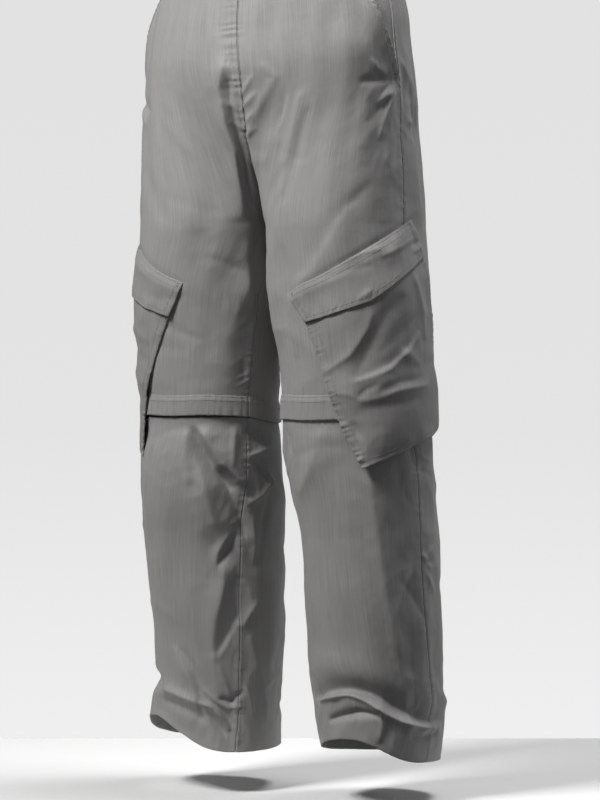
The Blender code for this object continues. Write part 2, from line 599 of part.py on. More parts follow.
def add_button():
    """A four-hole button on the left end of the waistband."""
    profile = (
        (0.0, BUTTON_THICKNESS - BUTTON_DISH),
        (BUTTON_RADIUS - BUTTON_RIM, BUTTON_THICKNESS - BUTTON_DISH),
        (BUTTON_RADIUS - BUTTON_RIM / 2, BUTTON_THICKNESS),
        (BUTTON_RADIUS, BUTTON_THICKNESS / 2),
        (BUTTON_RADIUS - BUTTON_RIM / 2, 0.0),
        (0.0, 0.0),
    )
    mesh = bpy.data.meshes.new("button")
    mesh.from_pydata([(radius, 0, height) for radius, height in profile], [(i, i + 1) for i in range(len(profile) - 1)], [])
    button = add_object("button", mesh, BUTTON_GREY, 0.35)
    turning = button.modifiers.new("turning", "SCREW")
    turning.steps = turning.render_steps = 24
    turning.use_merge_vertices = True
    turning.merge_threshold = 0.00001
    turning.use_normal_calculate = True
    holes = bmesh.new()
    for along, up in ((1, 1), (1, -1), (-1, 1), (-1, -1)):
        place = Matrix.Translation((along * BUTTON_HOLE_SPREAD / 2 * 1.2, up * BUTTON_HOLE_SPREAD / 2 * 1.2, BUTTON_THICKNESS / 2))
        bmesh.ops.create_cone(
            holes, cap_ends=True, segments=10, radius1=BUTTON_HOLE_RADIUS, radius2=BUTTON_HOLE_RADIUS,
            depth=3 * BUTTON_THICKNESS, matrix=place,
        )
    cutter_mesh = bpy.data.meshes.new("button_holes")
    holes.to_mesh(cutter_mesh)
    holes.free()
    cutter = bpy.data.objects.new("button_holes", cutter_mesh)
    cutter.hide_render = True
    cutter.display_type = "WIRE"
    cutters.objects.link(cutter)
    cut = button.modifiers.new("holes", "BOOLEAN")
    cut.object = cutter
    cut.operation = "DIFFERENCE"

    at = cloth_points("left", np.array([BUTTON_ANGLE]), np.array([BUTTON_HEIGHT]), WAISTBAND_CLOTH - CLOTH + GAP)[0]
    forward = outward("left", np.array([BUTTON_ANGLE]), np.array([BUTTON_HEIGHT]))[0]
    place = Matrix.Translation(Vector(at)) @ Vector(forward).to_track_quat("Z", "Y").to_matrix().to_4x4()
    button.matrix_world = place
    cutter.matrix_world = place


def make_trousers():
    add_waistband()
    add_button()
    add_fly()
    for leg in ("left", "right"):
        add_thigh(leg)
        add_pocket_facing(leg)
        add_cargo_pocket(leg)
        add_knee(leg)
        add_shin(leg)


for old in list(bpy.data.objects):
    bpy.data.objects.remove(old)
trousers = bpy.data.collections.new("cargo_trousers")
bpy.context.scene.collection.children.link(trousers)
cutters = bpy.data.collections.new("cutters")
bpy.context.scene.collection.children.link(cutters)
make_trousers()
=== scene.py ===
import bpy
import numpy as np
from math import radians
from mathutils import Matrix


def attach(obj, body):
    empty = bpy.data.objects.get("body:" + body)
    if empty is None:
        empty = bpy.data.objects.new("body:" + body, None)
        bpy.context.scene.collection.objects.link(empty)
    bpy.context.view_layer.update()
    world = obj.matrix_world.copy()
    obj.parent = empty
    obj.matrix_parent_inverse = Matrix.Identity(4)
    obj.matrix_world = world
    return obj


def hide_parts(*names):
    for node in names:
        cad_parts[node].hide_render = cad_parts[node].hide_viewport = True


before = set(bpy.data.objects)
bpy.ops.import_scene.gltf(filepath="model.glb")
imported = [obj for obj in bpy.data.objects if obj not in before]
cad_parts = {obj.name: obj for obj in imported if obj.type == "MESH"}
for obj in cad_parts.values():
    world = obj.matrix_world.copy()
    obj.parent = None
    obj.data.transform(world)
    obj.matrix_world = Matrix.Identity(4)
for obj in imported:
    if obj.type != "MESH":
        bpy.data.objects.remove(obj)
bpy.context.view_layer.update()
scene = bpy.context.scene
print("frame loaded:", len(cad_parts), "solids")

# Camera, light and floor

cameraView = {
    "place": (1.82, -3.106, -0.6),
    "turn": (90.0, 0.0, 30.0),
    "lens": 119.07,  # millimetres, on a 36 mm tall frame
}
studio = {
    "floorHeight": -1.137,
    "floorBack": 0.6,  # its far edge behind the object, as the camera sees it
    "floorFront": 0.1,
    "floorHalfWidth": 1.15,
    "floorColour": (0.8, 0.8, 0.8),
    "floorRoughness": 0.85,
    "backdrop": [(0.38, 0.863), (0.49, 0.772), (0.62, 0.76)],  # share of the way up, grey
    "ambient": (0.1, 0.1, 0.101),
    "lights": [  # name, place, target, size, spread in degrees, watts, colour
        ("keyLight", (-0.67, -1.84, 1.5), (0.0, 0.0, -0.42), 0.8, 90.0, 25.2, (1.0, 0.995, 0.985)),
        ("topLight", (0.93, 0.58, 3.2), (0.93, 0.59, -1.0), 1.4, 180.0, 116.0, (1.0, 1.0, 1.0)),
        ("fillLight", (2.26, -2.26, -0.3), (0.0, 0.0, -0.55), 1.2, 180.0, 4.0, (1.0, 1.0, 1.0)),
        ("rimLight", (2.2, 2.0, 0.6), (0.0, 0.0, -0.1), 1.2, 180.0, 14.0, (1.0, 1.0, 1.0)),
    ],
}


def setInputs(tree, node, inputs):  # each input is linked to a socket or given a value
    for name, value in inputs.items():
        if isinstance(value, bpy.types.NodeSocket):
            tree.links.new(value, node.inputs[name])
        else:
            node.inputs[name].default_value = value


def addNode(tree, kind, inputs={}, output=0, **settings):  # returns the wanted output of a new shader node
    node = tree.nodes.new("ShaderNode" + kind)
    for name, value in settings.items():
        setattr(node, name, value)
    setInputs(tree, node, inputs)
    return node.outputs[output]


def addMath(tree, operation, *values):
    return addNode(tree, "Math", dict(enumerate(values)), operation=operation)


def addCamera():
    camera = bpy.data.objects.new("camera", bpy.data.cameras.new("camera"))
    camera.location = cameraView["place"]
    camera.rotation_euler = [radians(turn) for turn in cameraView["turn"]]
    camera.data.lens = cameraView["lens"]
    camera.data.sensor_fit = "VERTICAL"
    camera.data.sensor_height = 36.0
    scene.collection.objects.link(camera)
    scene.camera = camera


def addLights():
    for name, place, target, size, spread, watts, colour in studio["lights"]:
        light = bpy.data.objects.new(name, bpy.data.lights.new(name, "AREA"))
        light.data.shape = "SQUARE"
        light.data.size = size
        light.data.spread = radians(spread)
        light.data.energy = watts
        light.data.color = colour
        aim = np.array(target) - np.array(place)
        yaw = np.arctan2(aim[1], aim[0]) - np.pi / 2
        pitch = np.arctan2(aim[2], np.hypot(aim[0], aim[1])) + np.pi / 2
        light.location = place
        light.rotation_euler = (pitch, 0.0, yaw)
        scene.collection.objects.link(light)


def addWorld():  # a graded backdrop for the camera, an even grey for everything else
    world = bpy.data.worlds.new("studio")
    world.use_nodes = True
    tree = world.node_tree
    tree.nodes.clear()
    upward = addNode(tree, "SeparateXYZ", {0: addNode(tree, "TexCoord", output="Generated")}, "Z")
    ramp = tree.nodes.new("ShaderNodeValToRGB")
    while len(ramp.color_ramp.elements) < len(studio["backdrop"]):
        ramp.color_ramp.elements.new(0.5)
    for element, (share, grey) in zip(ramp.color_ramp.elements, studio["backdrop"]):
        element.position = share
        element.color = (grey, grey, grey, 1.0)
    setInputs(tree, ramp, {"Fac": addMath(tree, "MULTIPLY_ADD", upward, 1.0, 0.5)})
    seen = addNode(tree, "Background", {"Color": ramp.outputs["Color"]})
    around = addNode(tree, "Background", {"Color": (*studio["ambient"], 1.0)})
    toCamera = addNode(tree, "LightPath", output="Is Camera Ray")
    mix = addNode(tree, "MixShader", {0: toCamera, 1: around, 2: seen})
    setInputs(tree, tree.nodes.new("ShaderNodeOutputWorld"), {"Surface": mix})
    scene.world = world


def addFloor():  # a rectangle square to the view
    heading = radians(cameraView["turn"][2])
    right = studio["floorHalfWidth"] * np.array([np.cos(heading), np.sin(heading)])
    toCamera = np.array([np.sin(heading), -np.cos(heading)])
    front, back = toCamera * studio["floorFront"], -toCamera * studio["floorBack"]
    corners = [front - right, front + right, back + right, back - right]
    mesh = bpy.data.meshes.new("floor")
    mesh.from_pydata([(x, y, studio["floorHeight"]) for x, y in corners], [], [(0, 1, 2, 3)])
    floor = bpy.data.objects.new("floor", mesh)
    scene.collection.objects.link(floor)
    material = bpy.data.materials.new("floorPaint")
    material.use_nodes = True
    paint = {"Base Color": (*studio["floorColour"], 1.0), "Roughness": studio["floorRoughness"]}
    setInputs(material.node_tree, material.node_tree.nodes["Principled BSDF"], paint)
    mesh.materials.append(material)


addCamera()
addLights()
addWorld()
addFloor()
scene.view_settings.view_transform = "Standard"
print("camera, lights and floor placed")

# The form: ring angle 0 is the front of a leg, 82 the outseam, -82 the inseam; height is from the waist down

form = {
    "seam": 82.0,
    "turn": 360.0,
    "metresPerDegree": 0.0016,
    "waistSeam": -0.04,
    "frontDip": 0.012,
    "backRise": 0.01,
    "lean": (-0.01, -0.21, -0.09),  # sideways shift, where it starts, where it is full
    "blend": (-0.14, -0.37, -0.46),  # hip to leg: start, crotch row, end
    "thighEnd": -0.614,
    "shinStart": -0.624,
    "hemRow": {"left": -1.084, "right": -1.08},
    "hemLift": {"left": (0.037, 78.0, 46.0), "right": (0.048, 40.0, 58.0)},  # lift, reach inwards, outwards
    "knee": (-0.61, 0.019, 0.02),  # middle of the held band, half its height, release
    "cloth": 0.0015,
    "gap": 0.0003,
    "seamInset": 0.0007,  # how far a panel stops short of its seam: half the gap and the bulge of its rim
    "lay": 0.0006,  # air between two layers
    "hipSquareness": 2.15,
    "legSquareness": 2.25,
    "seamReach": (26.0, 30.0),  # degrees over which the front and the back are drawn to the centre seams
    "waistTilt": 0.12,  # metres below the waist over which its dip and rise fade
    "hemSwing": 1.6,
}
seam, turn, perDegree = form["seam"], form["turn"], form["metresPerDegree"]
legs = ("left", "right")
mirror = {"left": 1.0, "right": -1.0}
legSections = {  # height, out, back, half width, half depth, outward turn
    "left": [
        (-0.37, 0.0975, 0.006, 0.0965, 0.117, 0), (-0.46, 0.1045, 0.004, 0.101, 0.108, 0),
        (-0.58, 0.112, 0.003, 0.0975, 0.096, 0), (-0.64, 0.112, 0.006, 0.0985, 0.091, -2),
        (-0.7, 0.115, 0.012, 0.0975, 0.09, -3), (-0.73, 0.1165, 0.016, 0.0955, 0.09, -3),
        (-0.8, 0.1215, 0.026, 0.0915, 0.09, -6), (-0.88, 0.1215, 0.032, 0.091, 0.09, -4),
        (-0.96, 0.1225, 0.039, 0.087, 0.091, 2), (-1.02, 0.1265, 0.041, 0.0815, 0.092, 8),
        (-1.09, 0.131, 0.04, 0.0715, 0.094, 2),
    ],
    "right": [
        (-0.37, 0.102, 0.006, 0.1035, 0.117, 2), (-0.46, 0.1115, 0.000, 0.1005, 0.104, 10),
        (-0.56, 0.116, 0.002, 0.094, 0.095, 14), (-0.605, 0.1155, 0.003, 0.089, 0.09, 16),
        (-0.64, 0.1165, 0.006, 0.0895, 0.088, 18), (-0.68, 0.12, 0.01, 0.096, 0.091, 21),
        (-0.73, 0.1215, 0.016, 0.0985, 0.092, 25), (-0.8, 0.1245, 0.026, 0.096, 0.09, 30),
        (-0.88, 0.1245, 0.032, 0.0935, 0.09, 32), (-0.96, 0.1255, 0.039, 0.088, 0.09, 32),
        (-1.01, 0.126, 0.039, 0.085, 0.089, 31), (-1.09, 0.1305, 0.032, 0.0905, 0.096, 30),
    ],
}
hipSections = {  # height, half width, front, back
    "left": [
        (0.000, 0.1745, 0.11, 0.11), (-0.04, 0.18, 0.115, 0.116), (-0.1, 0.192, 0.122, 0.122),
        (-0.16, 0.193, 0.127, 0.127), (-0.24, 0.19, 0.127, 0.127), (-0.32, 0.194, 0.124, 0.124),
        (-0.37, 0.195, 0.122, 0.122),
    ],
    "right": [
        (0.000, 0.1575, 0.11, 0.11), (-0.04, 0.167, 0.115, 0.116), (-0.1, 0.183, 0.122, 0.122),
        (-0.16, 0.198, 0.127, 0.127), (-0.24, 0.208, 0.127, 0.127), (-0.32, 0.209, 0.124, 0.124),
        (-0.37, 0.206, 0.122, 0.122),
    ],
}
centreSeam = [  # row, front y, front z, back y, back z
    (0.000, -0.11, 0.000, 0.11, 0.000), (-0.1, -0.122, -0.1, 0.122, -0.1),
    (-0.16, -0.127, -0.16, 0.126, -0.16), (-0.2, -0.117, -0.2, 0.119, -0.2),
    (-0.25, -0.098, -0.248, 0.101, -0.252), (-0.29, -0.076, -0.286, 0.081, -0.29),
    (-0.33, -0.044, -0.322, 0.05, -0.324), (-0.355, -0.014, -0.342, 0.026, -0.343),
    (-0.37, 0.01, -0.349, 0.01, -0.349), (-0.39, 0.01, -0.372, 0.01, -0.372),
    (-0.42, 0.01, -0.413, 0.01, -0.413), (-0.46, 0.01, -0.46, 0.01, -0.46),
]

# Creases: line of (ring angle, millimetres below the waist), half width and rise in millimetres (a minus is a
# trough), sharpness 0 to 1, and a skew where one flank is steeper: plus is the left of the line's run
creases = {
    "left": [
        ([(-18, 460), (90, 361.5)], 3.6, -1.6, 0.6),
        ([(43, 157.5), (51, 167.5), (64, 175)], 5, 2.2, 0.6, -0.3),
        ([(75, 178.5), (53, 178), (34, 183.5)], 7, -3.8, 0.5),
        ([(71, 182.5), (62, 190), (56, 197.5)], 3, -1.6, 0.6),
        ([(71, 195), (61, 202.5), (54, 210)], 4.5, 2.4, 0.6),
        ([(63, 206.5), (53, 220), (45, 235)], 7, -1.6, 0.4),
        ([(73, 197.5), (67, 212.5), (60, 237.5), (57, 255)], 5, 2.6, 0.5),
        ([(107, 172.5), (113, 190), (110, 227.5)], 6, 2.4, 0.5),
        ([(93, 232.5), (101, 230)], 3.5, 1.8, 0.5), ([(100, 180), (101, 250)], 7, -1.8, 0.3),
        ([(-78, 197.5), (-72, 185), (-67, 175)], 3.6, 2, 0.6),
        ([(-79, 215), (-72, 205), (-66, 197.5)], 3.6, 2, 0.6),
        ([(-77, 235), (-72, 227.5), (-68, 222.5)], 3.4, 1.8, 0.6),
        ([(-77, 252.5), (-70, 245), (-65, 242.5)], 3.4, 1.5, 0.6),
        ([(-37, 200), (-38, 217.5), (-40, 236)], 8, -1.8, 0.5, 0.6),
        ([(-23, 205), (-24, 272.5), (-23, 390)], 12.5, 4, 0.5, -0.2),
        ([(-14, 225), (-16, 280), (-18, 335)], 10, -2.8, 0.3), ([(-50, 270), (-44, 500)], 34, 9, 0),
        ([(33, 352), (7, 417.5), (-13, 467)], 12, 4, 0.5, -0.3),
        ([(46, 322), (18, 385), (0, 432)], 12, -2.6, 0.4),
        ([(-20, 462), (-21, 500), (-19, 540)], 5.5, 2, 0.6), ([(-27, 470), (-29, 520)], 5.5, -1.6, 0.5),
        ([(-44, 627), (-40, 645), (-36, 667)], 6, -4.5, 0.7),
        ([(-58, 632), (-62, 660), (-60, 700)], 7.5, 3, 0.6),
        ([(1, 636), (-2, 660), (-7, 682.5), (-24, 722.5)], 15, 5, 0.7),
        ([(36, 692.5), (35, 732.5), (40, 792.5), (42, 835), (45, 885), (50, 922.5)], 15, 4.2, 0.7, 0.3),
        ([(49, 675), (63, 667.5), (80, 662.5)], 12, -4, 0.3), ([(86, 672.5), (97, 680)], 4, 2, 0.5),
        ([(87, 810), (97, 797.5)], 4.2, 2.4, 0.5), ([(85, 807.5), (93, 822.5)], 4.2, 2.2, 0.5),
        ([(88, 830), (92, 842.5), (96, 855)], 5, 2.4, 0.5), ([(88, 817), (97, 812)], 4, -2, 0.5),
        ([(53, 880), (62, 852.5), (73, 825)], 6, 1.2, 0.6),
        ([(66, 700), (64, 830), (62, 960)], 18, -3, 0.2),
        ([(60, 840), (70, 858), (79, 885)], 6, -1.4, 0.5),
        ([(-62, 760), (-54, 850), (-56, 930)], 16, -2.4, 0.3),
        ([(-48, 1016.5), (-26, 1012.5), (-7, 1010.5), (11, 1012.5), (32, 1015), (56, 1020),
          (84, 1029)], 15, -13.5, 0.9, -0.35),
        ([(-44, 1023.5), (-19, 1020.5), (-5, 1017), (8, 1024), (22, 1031.5),
          (26, 1037)], 5.6, 8.8, 0.9, -0.2),
        ([(-25, 1053), (-8, 1047.5), (1, 1043), (20, 1041)], 6.2, -7.8, 0.6),
        ([(25, 1037.5), (28, 1052.5), (27, 1072)], 5.2, 3.6, 0.7, 0.5),
        ([(20, 1031), (33, 1035), (46, 1036), (68, 1037), (94, 1040)], 5.6, 5.8, 0.8),
        ([(61, 1052.5), (76, 1050), (91, 1045)], 5, -3, 0.5),
        ([(130, 690), (160, 722), (190, 740)], 14, -6, 0.5),
        ([(128, 712), (160, 742), (190, 764)], 12, 3.5, 0.4),
        ([(150, 800), (180, 832), (216, 850)], 16, -5.6, 0.5),
        ([(120, 850), (150, 872), (186, 880)], 14, -4, 0.3),
        ([(120, 960), (165, 984), (205, 990)], 15, -6, 0.5),
        ([(150, 1010), (190, 1022), (232, 1018)], 12, -5.5, 0.4),
        ([(100, 1000), (125, 1016), (150, 1020)], 10, 3.5, 0.4),
        ([(150, 330), (182, 372), (215, 400)], 21, -8, 0.2),
        ([(150, 270), (182, 290), (215, 300)], 21, 6, 0),
        ([(225, 405), (205, 455), (185, 520)], 16, -5, 0.3),
        ([(238, 390), (222, 450), (214, 520)], 12, 4, 0.4),
        ([(165, 505), (190, 545), (220, 565)], 14, -6, 0.3),
        ([(240, 500), (215, 540), (196, 572)], 12, -5, 0.4),
        ([(150, 650), (176, 664), (206, 660)], 12, -5, 0.4),
    ],
    "right": [
        ([(-16, 443), (90, 352)], 3.6, -1.6, 0.6), ([(-80, 564), (-70, 570)], 3.4, 1.3, 0.6),
        ([(-81, 572), (-72, 580)], 3.4, 1.5, 0.6), ([(-80, 581), (-74, 586)], 3.4, 1.3, 0.6),
        ([(-72, 550), (-76, 570)], 4.5, -2.2, 0.5),
        ([(-76, 160), (-69, 187.5), (-69, 212.5), (-68, 240), (-69, 270), (-60, 307.5),
          (-51, 355), (-58, 410), (-74, 465)], 11.5, 7.8, 0.7, -0.35),
        ([(-78, 177.5), (-75, 202.5), (-75, 237.5), (-76, 270), (-67, 310), (-57, 357.5),
          (-64, 410), (-81, 465)], 6, -4.6, 0.5),
        ([(-30, 210), (-26, 300), (-20, 420)], 24, -2.8, 0.1),
        ([(10, 180), (6, 300), (2, 440)], 28, 3, 0.1),
        ([(-44, 430), (-38, 500), (-36, 575)], 22, -3, 0.1),
        ([(60, 186), (40, 196), (20, 205)], 8, -3.2, 0.5),
        ([(58, 197), (42, 210), (28, 224)], 7, 2.4, 0.5), ([(-80, 215), (-70, 205)], 3.5, 1.4, 0.6),
        ([(-80, 240), (-71, 232)], 3.5, 1.4, 0.6),
        ([(-25, 627.5), (-26, 655), (-33, 710)], 8.5, 4.6, 0.5),
        ([(-32, 632.5), (-45, 657.5), (-57, 685), (-76, 707.5)], 15, 8.5, 0.9, 0.45),
        ([(-31, 638), (-40, 664), (-52, 693), (-68, 717)], 10.5, -10.5, 0.5),
        ([(-70, 627.5), (-68, 660), (-68, 687.5)], 6, 2.2, 0.5),
        ([(-72, 710), (-80, 710)], 3.4, 1.8, 0.6),
        ([(-41, 693), (-46, 715), (-50, 737.5), (-56, 762.5), (-65, 787.5)], 16, 8.5, 0.8, -0.3),
        ([(-61, 702), (-68, 722.5), (-76, 750), (-84, 777.5)], 12.5, -8.5, 0.4),
        ([(-72, 767.5), (-80, 762.5)], 3.6, 1.8, 0.6),
        ([(-69, 786.5), (-61, 807.5), (-60, 825)], 6, 4, 0.7),
        ([(-77, 783.5), (-69, 806), (-62, 823.5)], 6, -3.8, 0.6),
        ([(-66, 830), (-67, 847.5), (-64, 872.5), (-59, 902.5), (-57, 930),
          (-58, 950)], 13, 6.2, 0.8, -0.25),
        ([(-81, 840), (-80, 895)], 10, -3.4, 0.4),
        ([(-81, 893), (-71, 918), (-60, 945)], 10, -3.2, 0.6, -0.35),
        ([(-81, 904), (-72, 927), (-63, 953)], 5, 1.4, 0.6),
        ([(42, 998), (20, 1018), (-4, 1036)], 10, -12, 0.5),
        ([(-25, 962.5), (-32, 985), (-38, 1002.5), (-41, 1020)], 6.5, 5.2, 0.7),
        ([(-31, 960), (-38, 980), (-44, 1007.5)], 6, -3.6, 0.5),
        ([(-56, 952.5), (-63, 970), (-70, 990), (-72, 1002.5)], 6.5, 3, 0.5),
        ([(-4, 1040), (-24, 1031), (-38, 1027.5), (-52, 1024)], 10, 6.2, 0.9, -0.1),
        ([(-8, 1054), (-24, 1046), (-38, 1042), (-47, 1044)], 9, -5, 0.4),
        ([(-49, 1023.5), (-57, 1025), (-65, 1035), (-73, 1048.5)], 5.5, 6, 0.7),
        ([(-56, 1036), (-64, 1046), (-70, 1056)], 7, -5, 0.5),
        ([(-58, 1018), (-67, 1027), (-77, 1042)], 4.5, -3.6, 0.6),
        ([(-64, 1011), (-75, 1012), (-84, 1000)], 4.5, -4.6, 0.6),
        ([(-49, 1005), (-60, 1015), (-71, 1021.5), (-82, 1020)], 4, 3, 0.6),
        ([(-46, 1030), (-48, 1044)], 4, -2.6, 0.5),
        ([(276, 642.5), (260, 650), (252, 657.5)], 9, -7, 0.4),
        ([(273, 675), (261, 670), (249, 665)], 5, 3.8, 0.6),
        ([(269, 682.5), (260, 700), (252, 712.5)], 5, -4.6, 0.6),
        ([(262, 689), (251, 707.5), (243, 722.5)], 5.2, 4.2, 0.6),
        ([(250, 715), (261, 730), (274, 740)], 5.2, 3.8, 0.6),
        ([(252, 737.5), (255, 765), (256, 805)], 8, -3.2, 0.4),
        ([(268, 762.5), (264, 797.5), (265, 817.5)], 6.5, 3, 0.5),
        ([(274, 905), (268, 890), (261, 877.5)], 5.2, 2.6, 0.5),
        ([(271, 995), (266, 1010), (263, 1027.5)], 4.5, 3, 0.6),
        ([(250, 993.5), (236, 982.5), (223, 972.5)], 6, 3.2, 0.5),
        ([(268, 927.5), (260, 962.5), (252, 997.5), (246, 1025)], 7, 3.2, 0.5),
        ([(40, 720), (30, 830), (22, 940)], 18, -2.6, 0.3), ([(14, 700), (6, 820), (0, 960)], 22, 3, 0.3),
        ([(130, 690), (164, 724), (196, 738)], 14, -6, 0.5),
        ([(130, 716), (166, 748), (196, 764)], 12, 3.5, 0.4),
        ([(130, 838), (170, 868), (206, 876)], 16, -5.6, 0.5),
        ([(222, 790), (206, 810), (180, 818)], 10, -3, 0.5),
        ([(120, 978), (160, 998), (200, 1000)], 15, -6, 0.5),
        ([(140, 1020), (176, 1030), (214, 1024)], 11, -4.5, 0.4),
        ([(140, 340), (178, 378), (215, 400)], 21, -8, 0.2),
        ([(140, 260), (172, 280), (205, 290)], 21, 6, 0),
        ([(226, 400), (206, 452), (182, 512)], 16, -5, 0.3),
        ([(240, 392), (226, 452), (216, 530)], 12, 4, 0.4),
        ([(160, 512), (186, 548), (216, 560)], 14, -6, 0.3),
        ([(150, 655), (182, 668), (210, 662)], 12, -5, 0.4),
    ],
}
mounds = {  # soft swellings: angle, height, reach across, reach down, rise
    "left": [(26, -0.135, 0.046, 0.046, 0.01), (-8, -0.986, 0.064, 0.03, 0.005)],
    "right": [(-14, -0.745, 0.05, 0.09, 0.008), (-20, -1.075, 0.07, 0.024, -0.0095)],
}
smallWrinkles = {
    "count": 90,
    "seed": 23,
    "angle": (-80, 276),
    "height": (-1.06, -0.2),
    "halfWidth": (0.005, 0.012),
    "rise": 0.0012,
    "length": (0.03, 0.1),
}

# Crumple: a net of sharp low ridges, and where it is strongest: angle, height, reach across and down, gain
crumple = {
    "waves": [(0.075, 0.0012), (0.03, 0.0004)],  # wavelength, rise
    "seed": {"left": 5, "right": 31},
    "base": 0.1,
    "seamFade": 0.012,
    "hang": (0.06, 0.45, 0.0009),  # soft upright folds: wavelength across, along, rise
    "spots": [
        (74, -0.195, 0.07, 0.07, 0.9), (-78, -0.205, 0.035, 0.07, 0.7), (-62, -0.43, 0.06, 0.09, 0.5),
        (190, -0.4, 0.14, 0.13, 0.7), (82, -0.33, 0.05, 0.2, 0.4), (20, -0.68, 0.16, 0.05, 0.4),
        (190, -0.56, 0.16, 0.08, 0.6), (190, -0.74, 0.16, 0.11, 0.7), (-60, -0.72, 0.06, 0.09, 0.5),
        (82, -0.83, 0.045, 0.18, 0.6), (0, -1.035, 0.16, 0.04, 0.9), (180, -1.000, 0.17, 0.09, 0.8),
        (-80, -0.9, 0.035, 0.14, 0.5),
    ],
}


# Monotone cubic through every column of a table whose first column falls: Hermite pieces with harmonic slopes
def smoothCurve(table, at):
    rows = np.array(table, float)[::-1]
    xs, ys = rows[:, 0], rows[:, 1:]
    steps = np.diff(xs)
    slopes = np.diff(ys, axis=0) / steps[:, None]
    tangents = np.zeros_like(ys)
    tangents[0], tangents[-1] = slopes[0], slopes[-1]
    before, after = (2 * steps[1:] + steps[:-1])[:, None], (steps[1:] + 2 * steps[:-1])[:, None]
    product = slopes[1:] * slopes[:-1]
    sameWay = product > 0
    weight = before * np.where(sameWay, slopes[1:], 1) + after * np.where(sameWay, slopes[:-1], 1)
    tangents[1:-1] = np.where(sameWay, (before + after) * product / weight, 0)
    at = np.clip(at, xs[0], xs[-1])
    k = np.clip(np.searchsorted(xs, at, side="right") - 1, 0, len(xs) - 2)
    t = ((at - xs[k]) / steps[k])[..., None]
    step = steps[k][..., None]
    return np.moveaxis(
        (2 * t**3 - 3 * t**2 + 1) * ys[k] + (t**3 - 2 * t**2 + t) * step * tangents[k]
        + (3 * t**2 - 2 * t**3) * ys[k + 1] + (t**3 - t**2) * step * tangents[k + 1], -1, 0)


def inMetres(lines):  # a table of creases turned to metres, heights upwards
    return [
        ([(angle, -down / 1000) for angle, down in points], halfWidth / 1000, rise / 1000, *shape)
        for points, halfWidth, rise, *shape in lines
    ]


def unit(vectors, tiny=0.0):  # each vector over its own length
    return vectors / (np.linalg.norm(vectors, axis=-1, keepdims=True) + tiny)


def apartFrom(angle, middle):  # ring angle from a middle, the short way round
    return (angle - middle + 180.0) % 360.0 - 180.0


def toSeams(angle):  # metres to the inseam and to the outseam
    around = (angle + seam) % turn
    return np.minimum(around, turn - around) * perDegree, np.abs(angle - seam) * perDegree


def spot(angle, height, middle, level, across, down):  # 1 at a place, a bell curve away from it both ways
    return np.exp(-((apartFrom(angle, middle) * perDegree / across) ** 2) - ((height - level) / down) ** 2)


def ease(t):  # smooth step from 0 to 1
    t = np.clip(t, 0.0, 1.0)
    return t * t * (3.0 - 2.0 * t)


def rounded(value, squareness):  # sine or cosine pushed towards a square section
    return np.sign(value) * np.abs(value) ** (2.0 / squareness)


# Leg and half hip without folds: superellipse rings whose sizes follow the tables, blended from hip to leg,
# then drawn to the rise curve near the centre seams
def plainSurface(leg, angle, height):
    out, back, halfWidth, halfDepth, outTurn = smoothCurve(legSections[leg], height)
    hipWidth, hipFront, hipBack = smoothCurve(hipSections[leg], height)
    half = np.radians((angle + seam) / 2)
    cosine = np.cos(half)
    hipX = hipWidth * rounded(np.sin(half), form["hipSquareness"])
    hipY = -np.where(cosine > 0, hipFront, hipBack) * rounded(cosine, form["hipSquareness"])
    ring = [np.radians(a + outTurn) for a in (angle, -seam)]
    (legX, seamX), (legY, seamY) = [
        [out + halfWidth * rounded(np.sin(a), form["legSquareness"]) for a in ring],
        [back - halfDepth * rounded(np.cos(a), form["legSquareness"]) for a in ring],
    ]
    blendTop, crotchRow, blendEnd = form["blend"]
    toLeg = ease((blendTop - height) / (blendTop - crotchRow))
    x = (1 - toLeg) * hipX + toLeg * legX
    y = (1 - toLeg) * hipY + toLeg * legY
    frontY, frontZ, backY, backZ = smoothCurve(centreSeam, height)
    frontReach, backReach = form["seamReach"]
    nearFront = np.exp(-(((angle + seam) / frontReach) ** 2))
    nearBack = np.exp(-(((turn - seam - angle) / backReach) ** 2))
    above = height >= crotchRow - 1e-6
    fade = np.where(above, 1.0, ease((height - blendEnd) / (crotchRow - blendEnd)))
    y = y + fade * nearFront * (frontY + (1 - toLeg) * hipFront - toLeg * seamY)
    y = y + fade * nearBack * (backY - (1 - toLeg) * hipBack - toLeg * seamY)
    x = x - np.where(above, (nearFront + nearBack) * toLeg * seamX, 0.0)
    drawn = height + nearFront * (frontZ - height) + nearBack * (backZ - height)
    z = np.where(height > blendEnd, drawn, height)
    tilt = cosine**2 * np.where(cosine > 0, -form["frontDip"], form["backRise"])
    z = z + ease((height + form["waistTilt"]) / form["waistTilt"]) * tilt
    lift, inward, outwards = form["hemLift"][leg]
    around = np.where(angle > turn / 2, angle - turn, angle)
    low = np.clip((form["shinStart"] - height) / (form["shinStart"] - form["hemRow"][leg]), 0, 1)
    z = z + low ** form["hemSwing"] * lift * np.exp(-((around / np.where(around < 0, inward, outwards)) ** 2))
    return np.stack([x, y, z], axis=-1)


# Unit normal of the plain surface: cross product of its two slopes, straight ahead along the centre seams
def plainNormal(leg, angle, height):
    low, high = np.clip(angle - 0.5, -seam, turn - seam), np.clip(angle + 0.5, -seam, turn - seam)
    across = plainSurface(leg, high, height) - plainSurface(leg, low, height)
    down = plainSurface(leg, angle, height - 0.002) - plainSurface(leg, angle, height + 0.002)
    normal = unit(np.cross(down, across))
    toSeam = np.minimum(angle + seam, turn - seam - angle)
    normal[..., 0] *= 1 - np.where(height >= form["blend"][1] - 1e-6, 1 - ease(toSeam / 6.0), 0.0)
    return unit(normal)


